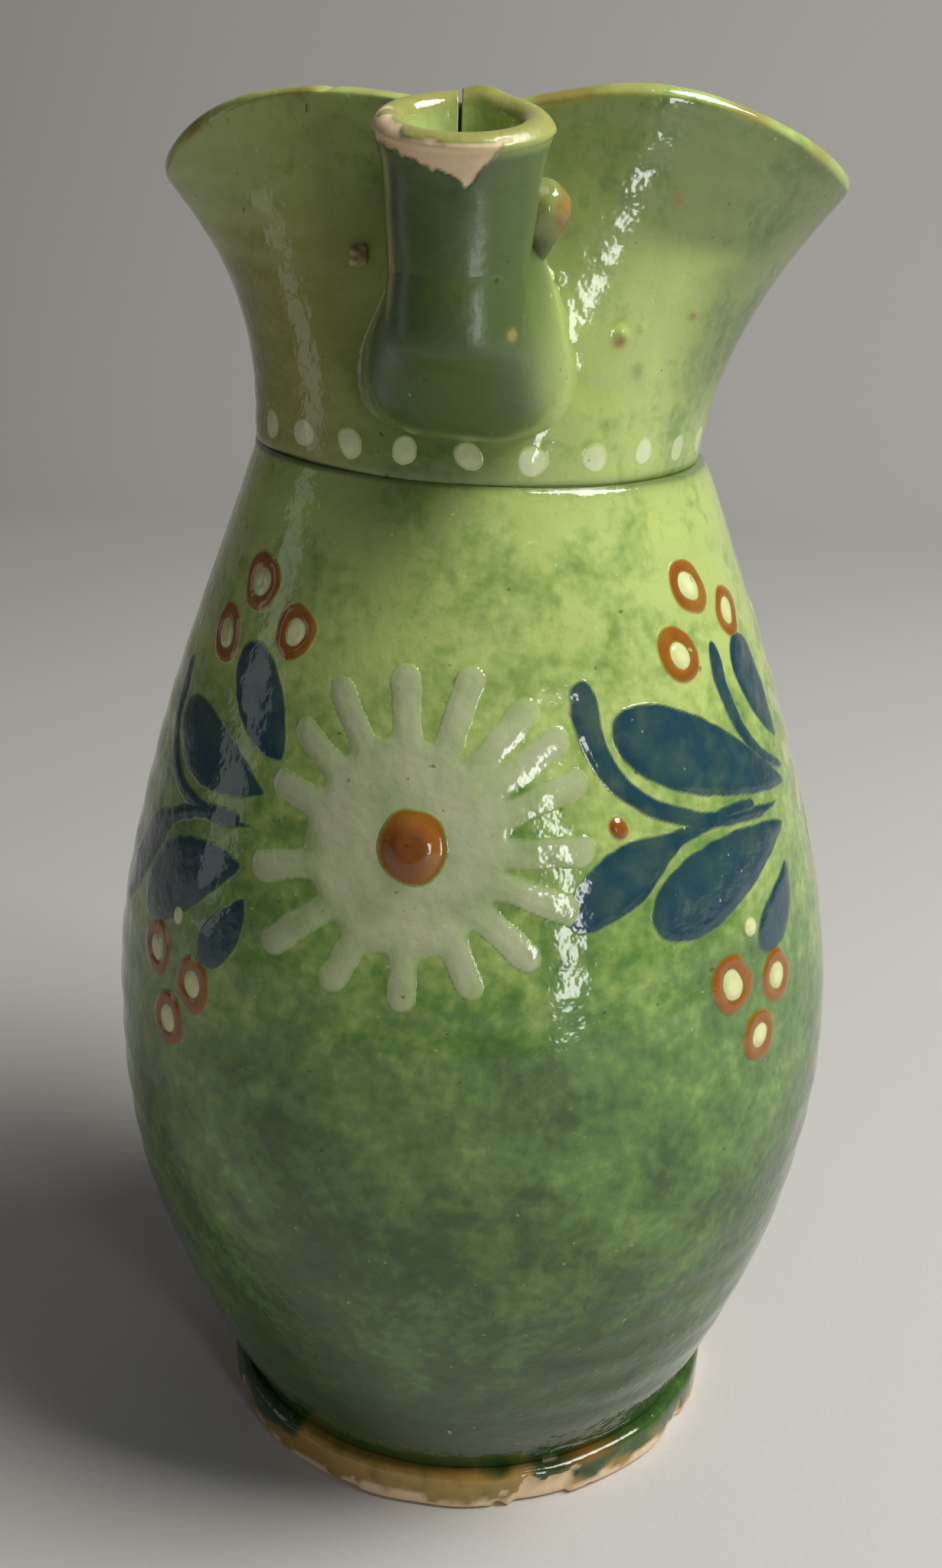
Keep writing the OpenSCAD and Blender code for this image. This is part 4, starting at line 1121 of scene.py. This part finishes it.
# %% Slips
# Name, colour at the edge, colour in the heart, least and most that it hides, size of its unevenness in mm
SLIPS = (("white_slip", "#a9b685", "#b8bd95", 0.6, 1.0, 8),
         ("blue_slip", "#1b3e48", "#244450", 0.9, 1.0, 4.5),
         ("brown_slip", "#965a12", "#854a1e", 0.9, 1.0, 4.5),
         ("cream_slip", "#cdd294", "#e8ebb6", 0.9, 1.0, 4.5))
for name, edge_code, heart_code, least, most, size in SLIPS:
    tree = new_finish(name)
    base, place, layer, blotches, grains = glaze_under(tree)
    brush = add(tree, NOISE, {"Vector": place, "Scale": 1 / (size * MM), "Detail": 3.0}).outputs[0]
    loaded = add(tree, RANGE, {0: brush, 1: 0.35, 2: 0.6, 3: least, 4: most}).outputs[0]
    hides = add(tree, MATH, {0: layer["cover"], 1: loaded}, operation="MULTIPLY").outputs[0]
    deep = add(tree, MATH, {0: brush, 1: 0.9, 2: layer["heart"]}, operation="MULTIPLY_ADD").outputs[0]
    deep = add(tree, RANGE, {0: deep, 1: 0.35, 2: 1.15}).outputs[0]
    slip = coats(tree, edge_code, (deep, heart_code), (layer["pale"], "#d5ddb0"))
    base = coats(tree, base, (hides, slip))
    close_finish(tree, weather(tree, base, place, layer, grains), place, layer)
print("slips:", [s[0] for s in SLIPS])

# %% [markdown]
# ### Bare clay
# The hidden pipe and knuckle were never dipped. Fired earthenware is dull, pinkish buff and slightly gritty.

# %% Bare clay
# Real grit is 0.3 to 1 mm; it is drawn a little coarser, so that it shows
GRIT = 1.2
tree = new_finish("bare_clay")
place = add(tree, "ShaderNodeTexCoord").outputs["Object"]
grit = add(tree, NOISE, {"Vector": place, "Scale": 1 / (GRIT * MM), "Detail": 3.0}).outputs[0]
clouds = add(tree, NOISE, {"Vector": place, "Scale": 1 / (12 * MM), "Detail": 2.0}).outputs[0]
tone = add(tree, MATH, {0: grit, 1: 0.5, 2: clouds}, operation="MULTIPLY_ADD").outputs[0]
share = add(tree, RANGE, {0: tone, 1: 0.5, 2: 1.0}).outputs[0]
base = coats(tree, "#9a7656", (share, "#c9a582"))
bump = add(tree, "ShaderNodeBump", {"Height": grit, "Distance": 0.1 * MM, "Strength": 1.0})
shader = add(tree, "ShaderNodeBsdfPrincipled", {"Base Color": base, "Roughness": CLAY_ROUGH,
                                                "Normal": bump.outputs[0]})
add(tree, "ShaderNodeOutputMaterial", {0: shader.outputs[0]})
print("bare_clay has", len(tree.nodes), "nodes")

# %% Finishes on the pieces
for piece, slot_name in dressed.items():
    piece.data.materials.append(finishes[slot_name])
for node in ("dip_pipe", "pipe_elbow"):
    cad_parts[node].data.materials.clear()
    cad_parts[node].data.materials.append(finishes["bare_clay"])
print(len(dressed), "pieces dressed")

# %% [markdown]
# ## Stage
# The jug stands on a pale, matte sweep of paper that curves up behind it, as in a small studio. There is no
# line between floor and wall, so nothing competes with the outline of the jug.

# %% Sweep
SWEEP_HALF_W, SWEEP_NEAR, SWEEP_FAR, SWEEP_ROUND, SWEEP_TOP = 1600, -1400, 700, 300, 1500
bend_up = np.linspace(0, np.pi / 2, 24)
round_up = [(SWEEP_FAR + SWEEP_ROUND * np.sin(a), SWEEP_ROUND * (1 - np.cos(a))) for a in bend_up]
profile = [(SWEEP_NEAR, 0)] + round_up + [(SWEEP_FAR + SWEEP_ROUND, SWEEP_TOP)]
verts = [(x, y, z) for y, z in profile for x in (-SWEEP_HALF_W, SWEEP_HALF_W)]
faces = [(2 * i, 2 * i + 1, 2 * i + 3, 2 * i + 2) for i in range(len(profile) - 1)]
sweep = make_piece("sweep", verts, faces)

# %% Paper
# Matte paper has no gloss; its fibres are drawn coarser than real ones, so that they show
FIBRE, PAPER_ROUGH = 0.8, 0.9
tree = new_finish("matte_paper")
place = add(tree, "ShaderNodeTexCoord").outputs["Object"]
fibre = add(tree, NOISE, {"Vector": place, "Scale": 1 / (FIBRE * MM), "Detail": 2.0}).outputs[0]
base = coats(tree, "#c4c1bb", (fibre, "#cecbc5"))
shader = add(tree, "ShaderNodeBsdfPrincipled", {"Base Color": base, "Roughness": PAPER_ROUGH})
add(tree, "ShaderNodeOutputMaterial", {0: shader.outputs[0]})
sweep.data.materials.append(finishes["matte_paper"])

# %% [markdown]
# ## Light
# Daylight from a window at the right makes the form. A second, narrower window shows as a bright upright
# patch on the belly, and a weak one at the left gives a veil on the shoulder. They are area lamps, so that
# the gloss has real shapes to mirror. Together they light a facing surface at about one, so colours come out
# as written.

# %% Lights
LIGHT_AIM = Vector((0, 0, 110 * MM))


def softbox(name, az_deg, el_deg, away, wide, tall, watts):
    """Area lamp that looks at the jug from a direction; metres and watts."""
    az, el = math.radians(az_deg), math.radians(el_deg)
    way = Vector((math.sin(az) * math.cos(el), -math.cos(az) * math.cos(el), math.sin(el)))
    lamp = bpy.data.lights.new(name, "AREA")
    lamp.shape, lamp.size, lamp.size_y, lamp.energy = "RECTANGLE", wide, tall, watts
    box = bpy.data.objects.new(name, lamp)
    facing_jug = way.to_track_quat("Z", "Y").to_matrix().to_4x4()
    box.matrix_world = Matrix.Translation(LIGHT_AIM + way * away) @ facing_jug
    bpy.context.scene.collection.objects.link(box)
    print(name, "radiance", round(watts / (math.pi * wide * tall), 1))


softbox("key", az_deg=82, el_deg=52, away=1.0, wide=0.55, tall=0.5, watts=12.2)
softbox("window", az_deg=35, el_deg=4.5, away=0.6, wide=0.065, tall=0.21, watts=0.5)
softbox("left_window", az_deg=-84, el_deg=6, away=0.9, wide=0.2, tall=0.6, watts=0.22)
world = bpy.data.worlds.new("room")
bpy.context.scene.world = world
world.use_nodes = True
world.node_tree.nodes.clear()
room = add(world.node_tree, "ShaderNodeBackground", {0: colour("#e6e6ea"), 1: 0.08})
add(world.node_tree, "ShaderNodeOutputWorld", {0: room.outputs[0]})
bpy.context.scene.view_settings.view_transform = "Standard"
